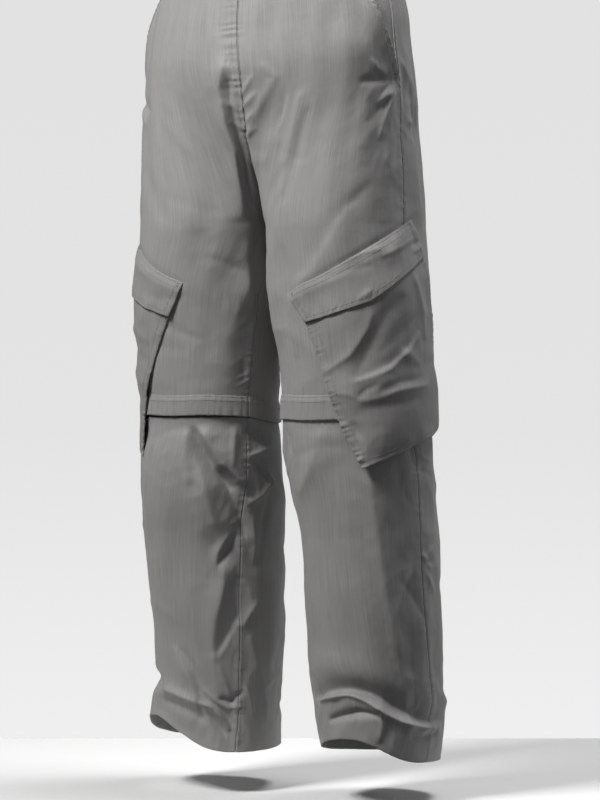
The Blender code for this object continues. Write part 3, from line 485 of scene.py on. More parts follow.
# Height of creases: each point takes the bell curve of its distance to the nearest piece of the line,
# narrower and lower towards the line's ends
def creaseRise(lines, angle, height):
    total = np.zeros(np.broadcast(angle, height).shape)
    for points, halfWidth, rise, sharpness, *skew in lines:
        knots = np.array(points, float)
        middle = knots[:, 0].mean()
        px, py = (middle + apartFrom(angle, middle)) * perDegree, height
        kx, ky = knots[:, 0] * perDegree, knots[:, 1]
        lengths = np.hypot(np.diff(kx), np.diff(ky))
        starts = np.concatenate([[0.0], np.cumsum(lengths)])
        best = np.full(total.shape, 1e9)
        share, side = np.zeros(total.shape), np.zeros(total.shape)
        for i, length in enumerate(lengths):
            dx, dy = (kx[i + 1] - kx[i]) / length, (ky[i + 1] - ky[i]) / length
            t = np.clip((px - kx[i]) * dx + (py - ky[i]) * dy, 0.0, length)
            distance = np.hypot(px - kx[i] - t * dx, py - ky[i] - t * dy)
            nearer = distance < best
            share = np.where(nearer, (starts[i] + t) / starts[-1], share)
            side = np.where(nearer, np.clip((dx * (py - ky[i]) - dy * (px - kx[i])) / 0.002, -1, 1), side)
            best = np.minimum(best, distance)
        swell = np.sin(np.pi * np.clip(share, 0, 1)) ** 0.7
        width = halfWidth * (0.75 + 0.25 * swell) * (1 - (skew[0] if skew else 0.0) * side)
        bell = np.exp(-((best / width) ** (2.0 - 0.8 * sharpness)))
        total += rise * (0.55 + 0.45 * swell) * bell
    return total


def makeSmallWrinkles(leg):  # short, low creases scattered by a seeded generator
    settings = smallWrinkles
    dice = np.random.default_rng(settings["seed"] + (leg == "left"))
    lines = []
    for _ in range(settings["count"]):
        angle, height = dice.uniform(*settings["angle"]), dice.uniform(*settings["height"])
        lean = dice.normal(0.0, 0.55) + (np.pi / 2 if dice.random() < 0.45 else 0.25)
        length = dice.uniform(*settings["length"])
        da, dh = np.cos(lean) * length / perDegree / 2, np.sin(lean) * length / 2
        bend = dice.normal(0.0, 0.12) * length
        middle = (angle + bend / perDegree, height + bend)
        line = [(angle - da, height - dh), middle, (angle + da, height + dh)]
        halfWidth = dice.uniform(*settings["halfWidth"])
        rise = settings["rise"] * dice.normal(0.0, 0.8)
        lines.append((line, halfWidth, rise, dice.uniform(0, 0.5)))
    return lines


for leg in legs:
    creases[leg] = inMetres(creases[leg]) + makeSmallWrinkles(leg)


# Ridged noise: one minus the size of a sum of sines of random headings, whose zero lines are sharp ridges
def ridgedNoise(angle, height, wavelength, seed):
    dice = np.random.default_rng(seed)
    x, y = angle * perDegree, height
    x = x + 0.15 * wavelength * np.sin(2.3 * y / wavelength + seed)
    total = np.zeros(np.broadcast(x, y).shape)
    for _ in range(9):
        heading, stretch, phase = dice.uniform(0, np.pi), dice.uniform(0.6, 1.5), dice.uniform(0, 2 * np.pi)
        along = x * np.cos(heading) + 0.6 * y * np.sin(heading)
        total += np.sin(2 * np.pi * stretch / wavelength * along + phase)
    return 0.67 - 0.4 * np.abs(total)


# Crumple of a leg: ridged noise in two sizes, stronger at the spots, and soft upright folds, none at seams
def crumpleRise(leg, angle, height):
    weight = np.full(np.broadcast(angle, height).shape, crumple["base"])
    for *place, gain in crumple["spots"]:
        weight = weight + gain * spot(angle, height, *place)
    seed = crumple["seed"][leg]
    waves = enumerate(crumple["waves"])
    net = sum(rise * ridgedNoise(angle, height, size, seed + i) for i, (size, rise) in waves)
    across, along, rise = crumple["hang"]
    lengthwise = 2 * np.pi * height
    drift = 1.3 * np.sin(lengthwise / along + seed) + 0.6 * np.sin(lengthwise / (0.37 * along))
    reach = 2 * np.pi * angle * perDegree
    hang = rise * np.sin(reach / across + drift) * np.sin(reach / (2.7 * across) + seed)
    return (weight * net + hang) * ease(np.minimum(*toSeams(angle)) / crumple["seamFade"])


def moundRise(leg, angle, height):
    total = np.zeros(np.broadcast(angle, height).shape)
    for *place, rise in mounds[leg]:
        total += rise * spot(angle, height, *place)
    return total


def legRise(leg, angle, height):  # creases and crumple of a leg, held flat at the knee
    middle, held, release = form["knee"]
    rise = creaseRise(creases[leg], angle, height) + crumpleRise(leg, angle, height)
    rise = rise + moundRise(leg, angle, height)
    return rise * ease((np.abs(height - middle) - held) / release)


def wave(along, length):  # uneven ripple: a sine whose phase and height wander
    phase = 2 * np.pi * along / length
    return np.sin(phase + 1.6 * np.sin(phase / 3.3)) * (0.62 + 0.38 * np.sin(phase / 5.7 + 1.0))


# Pucker of a stitched seam: ripples along it that die away with distance from it
def pucker(distance, along, rise, length, reach):
    return rise * wave(along, length) * np.exp(-((distance / reach) ** 2))


# World points: plain surface plus its normal times the rise; below dropFrom the cloth hangs straight
def clothPoints(leg, angle, height, rise, dropFrom=None):
    angle, height = np.broadcast_arrays(np.asarray(angle, float), np.asarray(height, float))
    held = height if dropFrom is None else np.maximum(height, dropFrom)
    points = plainSurface(leg, angle, held) + plainNormal(leg, angle, held) * np.asarray(rise)[..., None]
    points[..., 2] += height - held
    points[..., 0] = np.maximum(points[..., 0], form["gap"] / 2)
    points[..., 0] *= mirror[leg]
    shift, start, full = form["lean"]
    points[..., 0] += shift * ease((points[..., 2] - start) / (full - start))
    return points


def shares(count, finer=0.0):  # 0 to 1, closer together towards both ends
    t = np.linspace(0, 1, count)
    return t - finer * np.sin(2 * np.pi * t) / (2 * np.pi)


def gridShares(columns, rows, finer=0.4):  # shares across and down a piece, as two grids
    return np.meshgrid(shares(columns, finer), shares(rows, finer), indexing="ij")


# Closed cloth: an outer skin, an inner one with every second point, and a half round rim between them
def shellMesh(outer, inner, uv, ring=False):
    columns, rows = outer.shape[:2]
    inner = inner[::2, ::2]
    skins = [np.arange(columns * rows).reshape(columns, rows)]
    skins.append(columns * rows + np.arange(inner.shape[0] * inner.shape[1]).reshape(inner.shape[:2]))
    points = [outer.reshape(-1, 3), inner.reshape(-1, 3)]
    coordinates = [uv.reshape(-1, 2), uv[::2, ::2].reshape(-1, 2)]
    faces = []
    for skin, way in zip(skins, (-1, 1)):
        following = np.roll(skin, -1, axis=0)
        a, b = (skin, following) if ring else (skin[:-1], following[:-1])
        faces.append(np.stack([a[:, :-1], b[:, :-1], b[:, 1:], a[:, 1:]], axis=-1).reshape(-1, 4)[:, ::way])
    used = columns * rows + inner.shape[0] * inner.shape[1]
    for (border, inside), (low, _) in zip(borderPairs(skins[0], ring), borderPairs(skins[1], ring)):
        away = unit(points[0][border] - points[0][inside], 1e-12)
        below = np.concatenate(points[:2])[low]
        middle = (below + np.roll(below, -1, axis=0)) / 2
        across = np.stack([below, middle], axis=1).reshape(-1, 3)
        thick = np.linalg.norm(points[0][border] - across, axis=1, keepdims=True)
        points.append((points[0][border] + across) / 2 + away * thick * 0.45)
        coordinates.append(coordinates[0][border])
        rim = used + np.arange(len(border))
        used += len(border)
        faces.append(np.stack([border, np.roll(border, -1), np.roll(rim, -1), rim], axis=-1))
        even, odd, later, lowLater = rim[::2], rim[1::2], np.roll(rim[::2], -1), np.roll(low, -1)
        for corners in ((even, odd, low), (odd, later, lowLater), (odd, lowLater, low)):
            faces.append(np.stack(corners, axis=-1))
    points = np.concatenate(points)
    return points, faceOutward(points, faces), np.concatenate(coordinates)


def borderPairs(index, ring):  # closed runs of border points, each with its neighbour further in
    if ring:
        return [(index[:, 0], index[:, 1]), (index[::-1, -1], index[::-1, -2])]
    border = np.concatenate([index[:-1, 0], index[-1, :-1], index[:0:-1, -1], index[0, :0:-1]])
    inside = np.concatenate([index[:-1, 1], index[-2, :-1], index[:0:-1, -2], index[1, :0:-1]])
    return [(border, inside)]


def faceOutward(points, faces):  # all faces turned round if the closed mesh has a negative volume
    volume = 0.0
    for group in faces:
        first = points[group[:, 0]]
        for i in range(1, group.shape[1] - 1):
            volume += np.einsum("ij,ij->", first, np.cross(points[group[:, i]], points[group[:, i + 1]]))
    return faces if volume > 0 else [group[:, ::-1] for group in faces]


def addPiece(name, points, faces, material, uv=None, smooth=True):
    mesh = bpy.data.meshes.new(name)
    corners = np.concatenate([group.ravel() for group in faces]).astype(np.int32)
    sizes = np.concatenate([np.full(len(group), group.shape[1]) for group in faces])
    mesh.vertices.add(len(points))
    mesh.vertices.foreach_set("co", np.asarray(points, np.float32).ravel())
    mesh.loops.add(len(corners))
    mesh.loops.foreach_set("vertex_index", corners)
    mesh.polygons.add(len(sizes))
    mesh.polygons.foreach_set("loop_start", (np.cumsum(sizes) - sizes).astype(np.int32))
    mesh.update(calc_edges=True)
    if uv is not None:
        layer = mesh.uv_layers.new(name="cloth")
        layer.data.foreach_set("uv", uv[corners].astype(np.float32).ravel())
    if smooth:
        mesh.shade_smooth()
    mesh.validate()
    mesh.materials.append(material)
    piece = bpy.data.objects.new(name, mesh)
    scene.collection.objects.link(piece)
    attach(piece, "root")
    count["triangles"] += int((sizes - 2).sum())
    return piece


count = {"triangles": 0}


# One cloth piece: outer skin at the rise, inner skin a thickness below it
def addCloth(name, node, leg, angle, height, rise, thickness, dropFrom=None, ring=False, look=None,
             shift=0.0):
    outer = clothPoints(leg, angle, height, rise, dropFrom)
    inner = clothPoints(leg, angle, height, rise - thickness, dropFrom)
    outer[..., 0] += shift
    inner[..., 0] += shift
    uv = np.stack([angle * perDegree, height], axis=-1)
    points, faces, coordinates = shellMesh(outer, inner, uv, ring)
    piece = addPiece(name, points, faces, look or clothLook, coordinates)
    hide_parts(node)
    return piece


# Materials

clothFinish = {
    "colour": (0.252, 0.249, 0.245),
    "streaks": (1150.0, 16.0),  # per metre across and along the grain
    "broadStreaks": (260.0, 5.0),
    "streakContrast": 0.6,
    "broadContrast": 0.16,
    "mottle": 0.05,
    "mottleScale": 9.0,
    "roughness": 0.6,
    "roughnessSpread": 0.12,
    "sheen": 0.1,
    "sheenRoughness": 0.45,
    "specular": 0.28,
    "weave": 2600.0,
    "crinkle": 70.0,
    "bumps": [(0.35, 0.0012), (0.35, 0.00025), (0.15, 0.00008)],  # strength, depth: crinkle, streaks, weave
}
pocketShadedFinish = dict(clothFinish, colour=(0.224, 0.221, 0.217))  # the same cloth with its colour darkened a little: painted shade on the cargo bag and flap
tapeFinish = {"colour": (0.075, 0.075, 0.073), "roughness": 0.75, "grain": 1400.0, "depth": 0.0002}
teethFinish = {"colour": (0.11, 0.11, 0.108), "roughness": 0.45, "grain": 900.0, "depth": 0.0001}
threadFinish = {"colour": (0.215, 0.213, 0.21), "roughness": 0.55, "grain": 2600.0, "depth": 0.0001}
buttonFinish = {"colour": (0.045, 0.045, 0.043), "roughness": 0.32, "grain": 260.0, "depth": 0.0001}


def addNoise(tree, source, scale, detail=2.0):
    return addNode(tree, "TexNoise", {"Vector": source, "Scale": scale, "Detail": detail}, "Fac")


def noiseAlong(tree, source, scale, detail):  # noise stretched along the grain
    return addNoise(tree, addNode(tree, "Mapping", {"Vector": source, "Scale": (*scale, 1.0)}), 1.0, detail)


def addBump(tree, height, strength, depth, below={}):
    inputs = {"Height": height, "Strength": strength, "Distance": depth, **below}
    return {"Normal": addNode(tree, "Bump", inputs, "Normal")}


def finishLook(material, colour, shade, inputs):  # the tone is the colour times the shade
    tree = material.node_tree
    tone = addNode(tree, "VectorMath", {0: colour, "Scale": shade}, "Vector", operation="SCALE")
    setInputs(tree, tree.nodes["Principled BSDF"], {"Base Color": tone, **inputs})
    return material


# Cloth: streaks along the grain and a soft mottle in tone; crinkle, streaks and weave in relief, where the
# weave is the product of two ripples at right angles
def makeClothLook(name, finish):
    material = bpy.data.materials.new(name)
    material.use_nodes = True
    tree = material.node_tree
    uv = addNode(tree, "UVMap", output="UV", uv_map="cloth")
    place = addNode(tree, "TexCoord", output="Object")
    fine = noiseAlong(tree, uv, finish["streaks"], 3.0)
    broad = noiseAlong(tree, uv, finish["broadStreaks"], 2.0)
    mottle = addNoise(tree, place, finish["mottleScale"])
    shade = addMath(tree, "MULTIPLY_ADD", fine, finish["streakContrast"], 1 - finish["streakContrast"] / 2)
    for pattern, contrast in ((broad, finish["broadContrast"]), (mottle, finish["mottle"])):
        shade = addMath(tree, "MULTIPLY_ADD", pattern, contrast, shade)
        shade = addMath(tree, "SUBTRACT", shade, contrast / 2)
    spread = finish["roughnessSpread"]
    gloss = addMath(tree, "MULTIPLY_ADD", broad, spread, finish["roughness"] - spread / 2)
    waveInputs = {"Vector": uv, "Scale": finish["weave"] / 20, "Distortion": 0.0}
    weave = addMath(tree, "MULTIPLY", *[
        addNode(tree, "TexWave", waveInputs, "Fac", bands_direction=direction) for direction in ("X", "Y")
    ])
    crinkle = addNoise(tree, place, finish["crinkle"], 3.0)
    normal = {}
    for pattern, (strength, depth) in zip((crinkle, fine, weave), finish["bumps"]):
        normal = addBump(tree, pattern, strength, depth, normal)
    return finishLook(material, finish["colour"], shade, {
        "Roughness": gloss,
        "Sheen Weight": finish["sheen"],
        "Sheen Roughness": finish["sheenRoughness"],
        "Specular IOR Level": finish["specular"],
        **normal,
    })


def makePlainLook(name, colour, roughness, grain, depth):  # one tone broken up by fine noise
    material = bpy.data.materials.new(name)
    material.use_nodes = True
    tree = material.node_tree
    noise = addNoise(tree, addNode(tree, "TexCoord", output="Object"), grain, 3.0)
    shade = addMath(tree, "MULTIPLY_ADD", noise, 0.3, 0.85)
    return finishLook(material, colour, shade, {"Roughness": roughness, **addBump(tree, noise, 0.4, depth)})


clothLook = makeClothLook("slubNylon", clothFinish)
# The cargo bag and flap get the cloth's look with a darker colour, which is painted shade
pocketShadedLook = makeClothLook("slubNylonPocketPaintedShade", pocketShadedFinish)
tapeLook = makePlainLook("zipTape", **tapeFinish)
teethLook = makePlainLook("zipTeeth", **teethFinish)
threadLook = makePlainLook("thread", **threadFinish)
buttonLook = makePlainLook("buttonHorn", **buttonFinish)
print("materials made")

# Stitches: short threads laid along a line of points, gathered by leg and made into pieces at the end

stitch = {"length": 0.0026, "pitch": 0.0034, "halfWidth": 0.00036, "halfHeight": 0.00026, "sides": 5}
bartack = {"pitch": 0.0007, "crosswise": True, "wide": 0.8}
stitchLines = {"left": [], "right": []}


def stitchTemplate():  # a capsule along x: two rings and two tips
    sides, length = stitch["sides"], stitch["length"]
    around = 2 * np.pi * np.arange(sides) / sides
    ring = np.stack([np.cos(around) * stitch["halfWidth"], np.sin(around) * stitch["halfHeight"]], axis=1)
    rings = [np.column_stack([np.full(sides, x * length), ring]) for x in (-0.3, 0.3)]
    points = np.concatenate([*rings, [[-length / 2, 0, 0], [length / 2, 0, 0]]])
    i = np.arange(sides)
    j = (i + 1) % sides
    tip = np.full(sides, 2 * sides)
    groups = ((i, j, j + sides), (i, j + sides, i + sides), (j, i, tip), (i + sides, j + sides, tip + 1))
    return points, np.concatenate([np.stack(group, 1) for group in groups])[:, ::-1]


# Copies of a small shape: its own axes are laid along three directions at each centre
def placeCopies(template, faces, centres, axes):
    points = centres[:, None]
    for i, axis in enumerate(axes):
        points = points + template[None, :, i, None] * axis[:, None]
    firsts = (np.arange(len(centres)) * len(template))[:, None, None]
    return points.reshape(-1, 3), (faces[None] + firsts).reshape(-1, faces.shape[1])


# A row of threads a pitch apart along a line, each in the line's direction there or across it
def sewAlong(leg, points, normals, pitch=None, crosswise=False, wide=1.0):
    along = np.concatenate([[0.0], np.cumsum(np.linalg.norm(np.diff(points, axis=0), axis=1))])
    pitch = pitch or stitch["pitch"]
    at = np.arange(pitch / 2, along[-1] - pitch / 4, pitch)

    def sample(values, where):  # the line's values at distances along it
        return np.stack([np.interp(where, along, values[:, i]) for i in range(3)], axis=1)

    normal = sample(normals, at)
    ahead = unit(sample(points, at + 0.0004) - sample(points, at - 0.0004), 1e-12)
    normal = unit(normal - ahead * (normal * ahead).sum(1, keepdims=True), 1e-12)
    side = np.cross(normal, ahead)
    if crosswise:
        ahead, side = side, -ahead
    stitchLines[leg].append(placeCopies(*stitchTemplate(), sample(points, at), (ahead * wide, side, normal)))


def sewOnLeg(leg, angle, height, rise, dropFrom=None, **options):  # a row of stitches laid on the cloth
    angle, height = np.broadcast_arrays(np.asarray(angle, float), np.asarray(height, float))
    held = height if dropFrom is None else np.maximum(height, dropFrom)
    points = clothPoints(leg, angle, height, rise + stitch["halfHeight"] * 0.4, dropFrom)
    normals = plainNormal(leg, angle, held)
    normals[..., 0] *= mirror[leg]
    sewAlong(leg, points, normals, **options)


def sewPanel(leg, riseOf, angle, height, **options):  # a row on a panel, with the panel's own rise
    angle = angle + 0 * height
    sewOnLeg(leg, angle, height, riseOf(leg, angle, height), **options)


# A row on a small piece, given by shares across and down it
def sewPiece(leg, placeOf, riseOf, across, down, **options):
    across, down = np.broadcast_arrays(across, down)
    sewOnLeg(leg, *placeOf(leg, across, down), riseOf(leg, across, down), **options)


def addStitches(name, leg):
    points, faces, used = [], [], 0
    for linePoints, lineFaces in stitchLines[leg]:
        points.append(linePoints)
        faces.append(lineFaces + used)
        used += len(linePoints)
    piece = addPiece(name, np.concatenate(points), [np.concatenate(faces)], threadLook)
    print(piece.name, sum(map(len, faces)), "triangles")


# Cargo pocket outlines, needed by the thighs below them

cargo = {
    "thickness": 0.0024,
    "bulge": {"left": 0.003, "right": 0.0012},
    "standOff": {"left": 0.0045, "right": 0.0035},
    "edgeSwell": (0.0384, 0.15),  # metres over which the bag swells inside its edge, share at the edge
    "covered": 0.4,  # share of the bag's thickness under the flap
    "free": (-0.545, -0.59),
    "drop": -0.62,
    "press": 0.0035,  # how far the leg gives way under the bag
    "pressReach": (0.022, 0.02, 0.03, -0.585, 0.02),  # from the edges, below the flap, and where it ends
    "bagGrid": (101, 121),
    "flapGrid": (101, 35),
    "flapClearance": 0.0009,
    "flapRamp": 0.3,
    "underFlap": (0.018, 0.06),  # metres below the flap's seam where the bag starts to swell, and reach
    "left": {
        "flapTop": ((-18, -0.46), (90, -0.3615)),
        "flapBottom": ((-5, -0.4975), (42, -0.4715), (98, -0.409)),
        "frontEdge": (
            (-12.5, -0.476), (-5, -0.504), (0, -0.54), (3, -0.572), (8, -0.6), (17, -0.64), (31, -0.688),
        ),
        "backEdge": ((93.5, -0.381), (136, -0.622)),
    },
    "right": {
        "flapTop": ((-16, -0.443), (90, -0.352)),
        "flapBottom": ((-10, -0.4865), (44, -0.455), (98, -0.408)),
        "frontEdge": (
            (-13.5, -0.461), (-9, -0.488), (-4, -0.515), (7, -0.56), (15, -0.59), (22, -0.625), (28, -0.675),
        ),
        "backEdge": ((93.5, -0.375), (133, -0.62)),
    },
}
bagCreases = {
    "left": [
        ([(5, 562.5), (14, 552.5), (23, 542.5), (30, 527.5), (38, 507.5), (42, 490)], 7.5, 3.4, 0.9, -0.2),
        ([(28, 564), (36, 538), (45, 513), (54, 488), (66, 468)], 11, -2.8, 0.5),
        ([(49, 535), (63, 515), (82, 492.5)], 13, -2.4, 0.4),
        ([(30, 569.5), (42, 561.5), (55, 551.5), (64, 539), (74, 526.5), (83, 508)], 7.5, -1.8, 0.6, -0.4),
        ([(27, 576), (41, 568.5), (55, 558.5), (64, 546), (74, 533.5), (84, 513.5)], 4.2, 1.8, 0.8),
        ([(67, 537.5), (82, 550)], 8, 2, 0.3), ([(28, 596), (34, 586), (42, 580)], 4.8, -2, 0.6),
        ([(12, 590), (22, 592.5), (31, 600), (44, 597.5), (61, 587.5), (90, 580)], 4.2, 1.6, 0.8),
        ([(46, 587), (61, 577.5), (84, 571)], 6.2, -1.8, 0.5),
        ([(81, 432.5), (86, 455), (90, 482.5), (91, 515)], 5, 2.8, 0.6),
        ([(24, 630), (30, 646)], 6, -2.8, 0.4), ([(32, 612), (52, 604), (78, 598)], 10, -2, 0.2),
        ([(95, 450), (104, 500), (112, 550)], 14, -2.6, 0.2),
    ],
    "right": [
        ([(10, 520), (30, 505), (52, 500)], 9, 2.2, 0.5),
        ([(16, 545), (38, 532), (62, 520)], 10, -2.2, 0.3),
        ([(20, 575), (46, 560), (80, 545)], 9, 2.4, 0.5),
        ([(28, 600), (56, 590), (88, 580)], 10, -2, 0.3), ([(84, 450), (92, 500), (98, 545)], 13, 2, 0.3),
    ],
}
flapCreases = {
    "left": [
        ([(26, 420), (39, 410), (54, 402.5)], 4.2, 1.5, 0.5),
        ([(56, 412.5), (73, 400), (87, 387.5)], 4.2, 1.5, 0.5), ([(85, 405), (96, 397)], 4, 1.8, 0.5),
        ([(86, 397), (95, 389)], 4, -1.4, 0.5), ([(-5, 465), (-3, 485)], 4.2, 1.5, 0.5),
        ([(35, 467.5), (43, 457.5)], 4.2, 1.5, 0.5), ([(14, 440), (30, 430), (44, 426)], 6, -1, 0.3),
    ],
    "right": [
        ([(12, 430), (26, 424), (40, 412)], 7, 1.1, 0.3), ([(56, 402), (70, 396), (84, 382)], 8, -1, 0.3),
    ],
}


def edgeAngle(edge, height):  # ring angle of a near vertical edge at this height
    return np.interp(-height, [-point[1] for point in edge], [point[0] for point in edge])


def lineThrough(points, share):  # point at a share of a short polyline, knots evenly spaced
    knots = np.linspace(0.0, 1.0, len(points))
    return np.interp(share, knots, [p[0] for p in points]), np.interp(share, knots, [p[1] for p in points])


def insideBag(leg, angle, height):  # metres from the nearer side edge of the bag, positive inside it
    pocket = cargo[leg]
    fromFront = angle - edgeAngle(pocket["frontEdge"], height)
    fromBack = edgeAngle(pocket["backEdge"], height) - angle
    return np.minimum(fromFront, fromBack) * perDegree


def belowFlapTop(leg, angle, height):  # metres below the line along which the flap is sewn on
    return lineThrough(cargo[leg]["flapTop"], np.clip((angle + 16.0) / 106.0, 0, 1))[1] - height


def pastFlap(leg, angle, height):  # 0 where the flap presses the bag down, 1 below
    start, reach = cargo["underFlap"]
    return ease((belowFlapTop(leg, angle, height) - start) / reach)


def cargoLift(leg, angle, height):  # bag's inner face above the leg: sewn at its edges, free below the knee
    reach, first = cargo["edgeSwell"]
    swell = ease(insideBag(leg, angle, height) / reach + first) * cargo["bulge"][leg]
    swell = swell * pastFlap(leg, angle, height)
    start, end = cargo["free"]
    return form["lay"] + swell + ease((start - height) / (start - end)) * cargo["standOff"][leg]


def bagThickness(leg, angle, height):  # the two layers, thinner where the flap covers them
    covered = cargo["covered"]
    return cargo["thickness"] * (covered + (1 - covered) * pastFlap(leg, angle, height))


def bagPress(leg, angle, height):  # the leg gives way under the middle of the bag
    sideReach, below, belowReach, end, endReach = cargo["pressReach"]
    within = ease(insideBag(leg, angle, height) / sideReach)
    within = within * ease((belowFlapTop(leg, angle, height) - below) / belowReach)
    return -cargo["press"] * within * ease((height - end) / endReach)


pressed = 0.35  # share of a piece's thickness that is left along its seam


def pressedThin(share):  # from the pressed share at the seam to the whole thickness
    return pressed + (1 - pressed) * ease(share)


# Thighs: front and back from the waistband to the knee

thigh = {
    "front": (115, 241),
    "back": (131, 241),
    "pocketTopAngle": 36.5,
    "pocketBottom": -0.174,
    "gape": {"left": 0.011, "right": 0.006},
    "gapeReach": 16.0,
    "seamPucker": (0.00045, 0.0095, 0.007),  # rise, length, reach
    "flyPucker": (0.0007, 0.011, 0.01),
    "flySpan": (-0.31, 0.06, -0.06, 0.04),  # where the fly's pucker starts and ends, each with its fade
    "mouthHem": 0.011,
    "mouthRaise": 0.0004,
    "mouthRows": (0.0022, 0.01),  # metres from the mouth's edge
    "mouthTacks": ((76.5, -0.171), (38.5, -0.05)),  # bar tacks at the mouth's ends: angle, height
    "tackHalf": 0.0045,
}
edge = form["seamInset"] / perDegree  # degrees that a panel stops short of its seam
rowBeside = 1.9  # degrees between a seam and the row of stitches beside it


def mouthShare(height):  # 0 at the top of the hip pocket's mouth, 1 at its foot
    return (form["waistSeam"] - height) / (form["waistSeam"] - thigh["pocketBottom"])


def pocketMouth(height):  # ring angle of the slanted mouth of the hip pocket
    return thigh["pocketTopAngle"] + np.clip(mouthShare(height), 0, 1) * (seam - thigh["pocketTopAngle"])


# Angle at which a long panel stops short of a seam: the inset over the ring's width of half a degree there
def panelStop(leg, seamAngle, way, height):
    onSeam = seamAngle + 0 * height
    step = plainSurface(leg, onSeam + way * 0.5, height) - plainSurface(leg, onSeam, height)
    return seamAngle + way * 0.5 * np.clip(form["seamInset"] / np.linalg.norm(step, axis=-1), 0.5, 1.5)


# Folds, the bag's print, half a sine of gape down the pocket's mouth, puckers along the fly, the centre seam
# and the mouth, and a step for the mouth's hem
def thighFrontRise(leg, angle, height):
    toCentre = (angle + seam) * perDegree
    mouth, down = pocketMouth(height), mouthShare(height)
    toMouth = (mouth - angle) * perDegree
    swell = np.sin(np.pi * np.clip(down, 0, 1)) * np.exp(-(((mouth - angle) / thigh["gapeReach"]) ** 2))
    low, lowFade, high, highFade = thigh["flySpan"]
    atFly = ease((height - low) / lowFade) * ease((high - height) / highFade)
    rise = legRise(leg, angle, height) + bagPress(leg, angle, height) + thigh["gape"][leg] * swell
    rise = rise + pucker(toCentre, height, *thigh["flyPucker"]) * atFly
    rise = rise + pucker(toCentre, height, *thigh["seamPucker"]) * (1 - atFly)
    rise = rise + pucker(toMouth, height + (0.3 if leg == "left" else 0.0), *thigh["seamPucker"])
    return rise + ease((thigh["mouthHem"] - toMouth) / 0.0012) * (down < 1) * thigh["mouthRaise"]


def thighBackRise(leg, angle, height):  # folds, the bag's print, and puckers along both seams
    toSide, toCentre = (angle - seam) * perDegree, (turn - seam - angle) * perDegree
    rise = legRise(leg, angle, height) + bagPress(leg, angle, height)
    rise = rise + pucker(toSide, height + 0.13, *thigh["seamPucker"])
    return rise + pucker(toCentre, height + 0.05, *thigh["seamPucker"])


def addThigh(leg):
    top = form["waistSeam"] - form["gap"] - form["cloth"] / 2
    across, down = gridShares(*thigh["front"])
    height = top + down * (form["thighEnd"] - top)
    start, stop = panelStop(leg, -seam, 1, height), pocketMouth(height) - edge
    angle = start + across * (stop - start)
    rise = thighFrontRise(leg, angle, height)
    addCloth("thighFront_" + leg, "thigh_front_" + leg, leg, angle, height, rise, form["cloth"])
    across, down = gridShares(*thigh["back"])
    height = top + down * (form["thighEnd"] - top)
    start, stop = panelStop(leg, seam, 1, height), panelStop(leg, turn - seam, -1, height)
    angle = start + across * (stop - start)
    rise = thighBackRise(leg, angle, height)
    addCloth("thighBack_" + leg, "thigh_back_" + leg, leg, angle, height, rise, form["cloth"])

    # Two rows along the pocket mouth, one beside the outseam and one beside the back seam, and two tacks
    bottom = thigh["pocketBottom"]
    height = form["waistSeam"] - np.linspace(0.02, 0.985, 400) * (form["waistSeam"] - bottom)
    for inset in thigh["mouthRows"]:
        sewPanel(leg, thighFrontRise, pocketMouth(height) - inset / perDegree, height)
    height = np.linspace(bottom - 0.011, form["thighEnd"] + 0.024, 800)
    for angle in (seam + rowBeside, turn - seam - rowBeside):
        sewPanel(leg, thighBackRise, angle, height)
    run = np.linspace(-1, 1, 12) * thigh["tackHalf"] / perDegree
    for tackAngle, tackHeight in thigh["mouthTacks"]:
        sewPanel(leg, thighFrontRise, tackAngle + run, np.full(12, tackHeight), **bartack)


# Hip pocket facing: the cloth seen inside the mouth

facing = {"grid": (31, 61), "tuck": 14.0, "extra": 0.012}


def addFacing(leg):
    across, down = gridShares(*facing["grid"])
    top, bottom = form["waistSeam"] - form["gap"], thigh["pocketBottom"] - facing["extra"]
    height = top + down * (bottom - top)
    first = np.minimum(pocketMouth(height), seam - 2) - facing["tuck"]
    angle = first + across * (seam - edge - first)
    rise = legRise(leg, angle, height) - form["cloth"] - form["lay"]
    addCloth("pocketFacing_" + leg, "pocket_facing_" + leg, leg, angle, height, rise, form["cloth"])


# Shins: front and back from the knee zip to the hem

shin = {
    "front": (115, 193),
    "back": (131, 193),
    "hemDepth": 0.022,
    "hemPucker": (0.00025, 0.012, 0.008),
    "seamPucker": (0.00055, 0.01, 0.008),
    "flutes": (0.0016, 4.0),  # rise, and how many go round the leg
    "fluteSpan": (-0.68, 0.3),  # where they start, and over how much they grow
    "fluteDrift": 6.0,
    "flutePhase": {"left": 0.8, "right": 2.1},
}


# Folds, puckers along both seams and the hem's row, and flutes: a sine round the leg that grows downwards
def shinRise(leg, angle, height):
    toInseam, toOutseam = toSeams(angle)
    rise = legRise(leg, angle, height)
    rise = rise + pucker(toInseam, height, *shin["seamPucker"])
    rise = rise + pucker(toOutseam, height + 0.07, *shin["seamPucker"])
    toHemRow = height - form["hemRow"][leg] - shin["hemDepth"]
    rise = rise + pucker(toHemRow, angle * perDegree, *shin["hemPucker"])
    depth, many = shin["flutes"]
    start, reach = shin["fluteSpan"]
    flute = np.sin(np.radians(angle) * many + shin["fluteDrift"] * height + shin["flutePhase"][leg])
    return rise + depth * ease((start - height) / reach) * flute


def addShin(leg):
    for name, size, first, last in (
        ("Front_", shin["front"], -seam, seam),
        ("Back_", shin["back"], seam, turn - seam),
    ):
        across, down = gridShares(*size)
        height = form["shinStart"] + down * (form["hemRow"][leg] - form["shinStart"])
        start, stop = panelStop(leg, first, 1, height), panelStop(leg, last, -1, height)
        angle = start + across * (stop - start)
        rise = shinRise(leg, angle, height)
        addCloth("shin" + name + leg, "shin_" + name.lower() + leg, leg, angle, height, rise, form["cloth"])
    height = np.linspace(form["shinStart"] - 0.01, form["hemRow"][leg] + 0.004, 900)
    for angle in (seam + rowBeside, turn - seam - rowBeside):
        sewPanel(leg, shinRise, angle, height)


# Knee: the flap over the zip, the zip's tape and its teeth

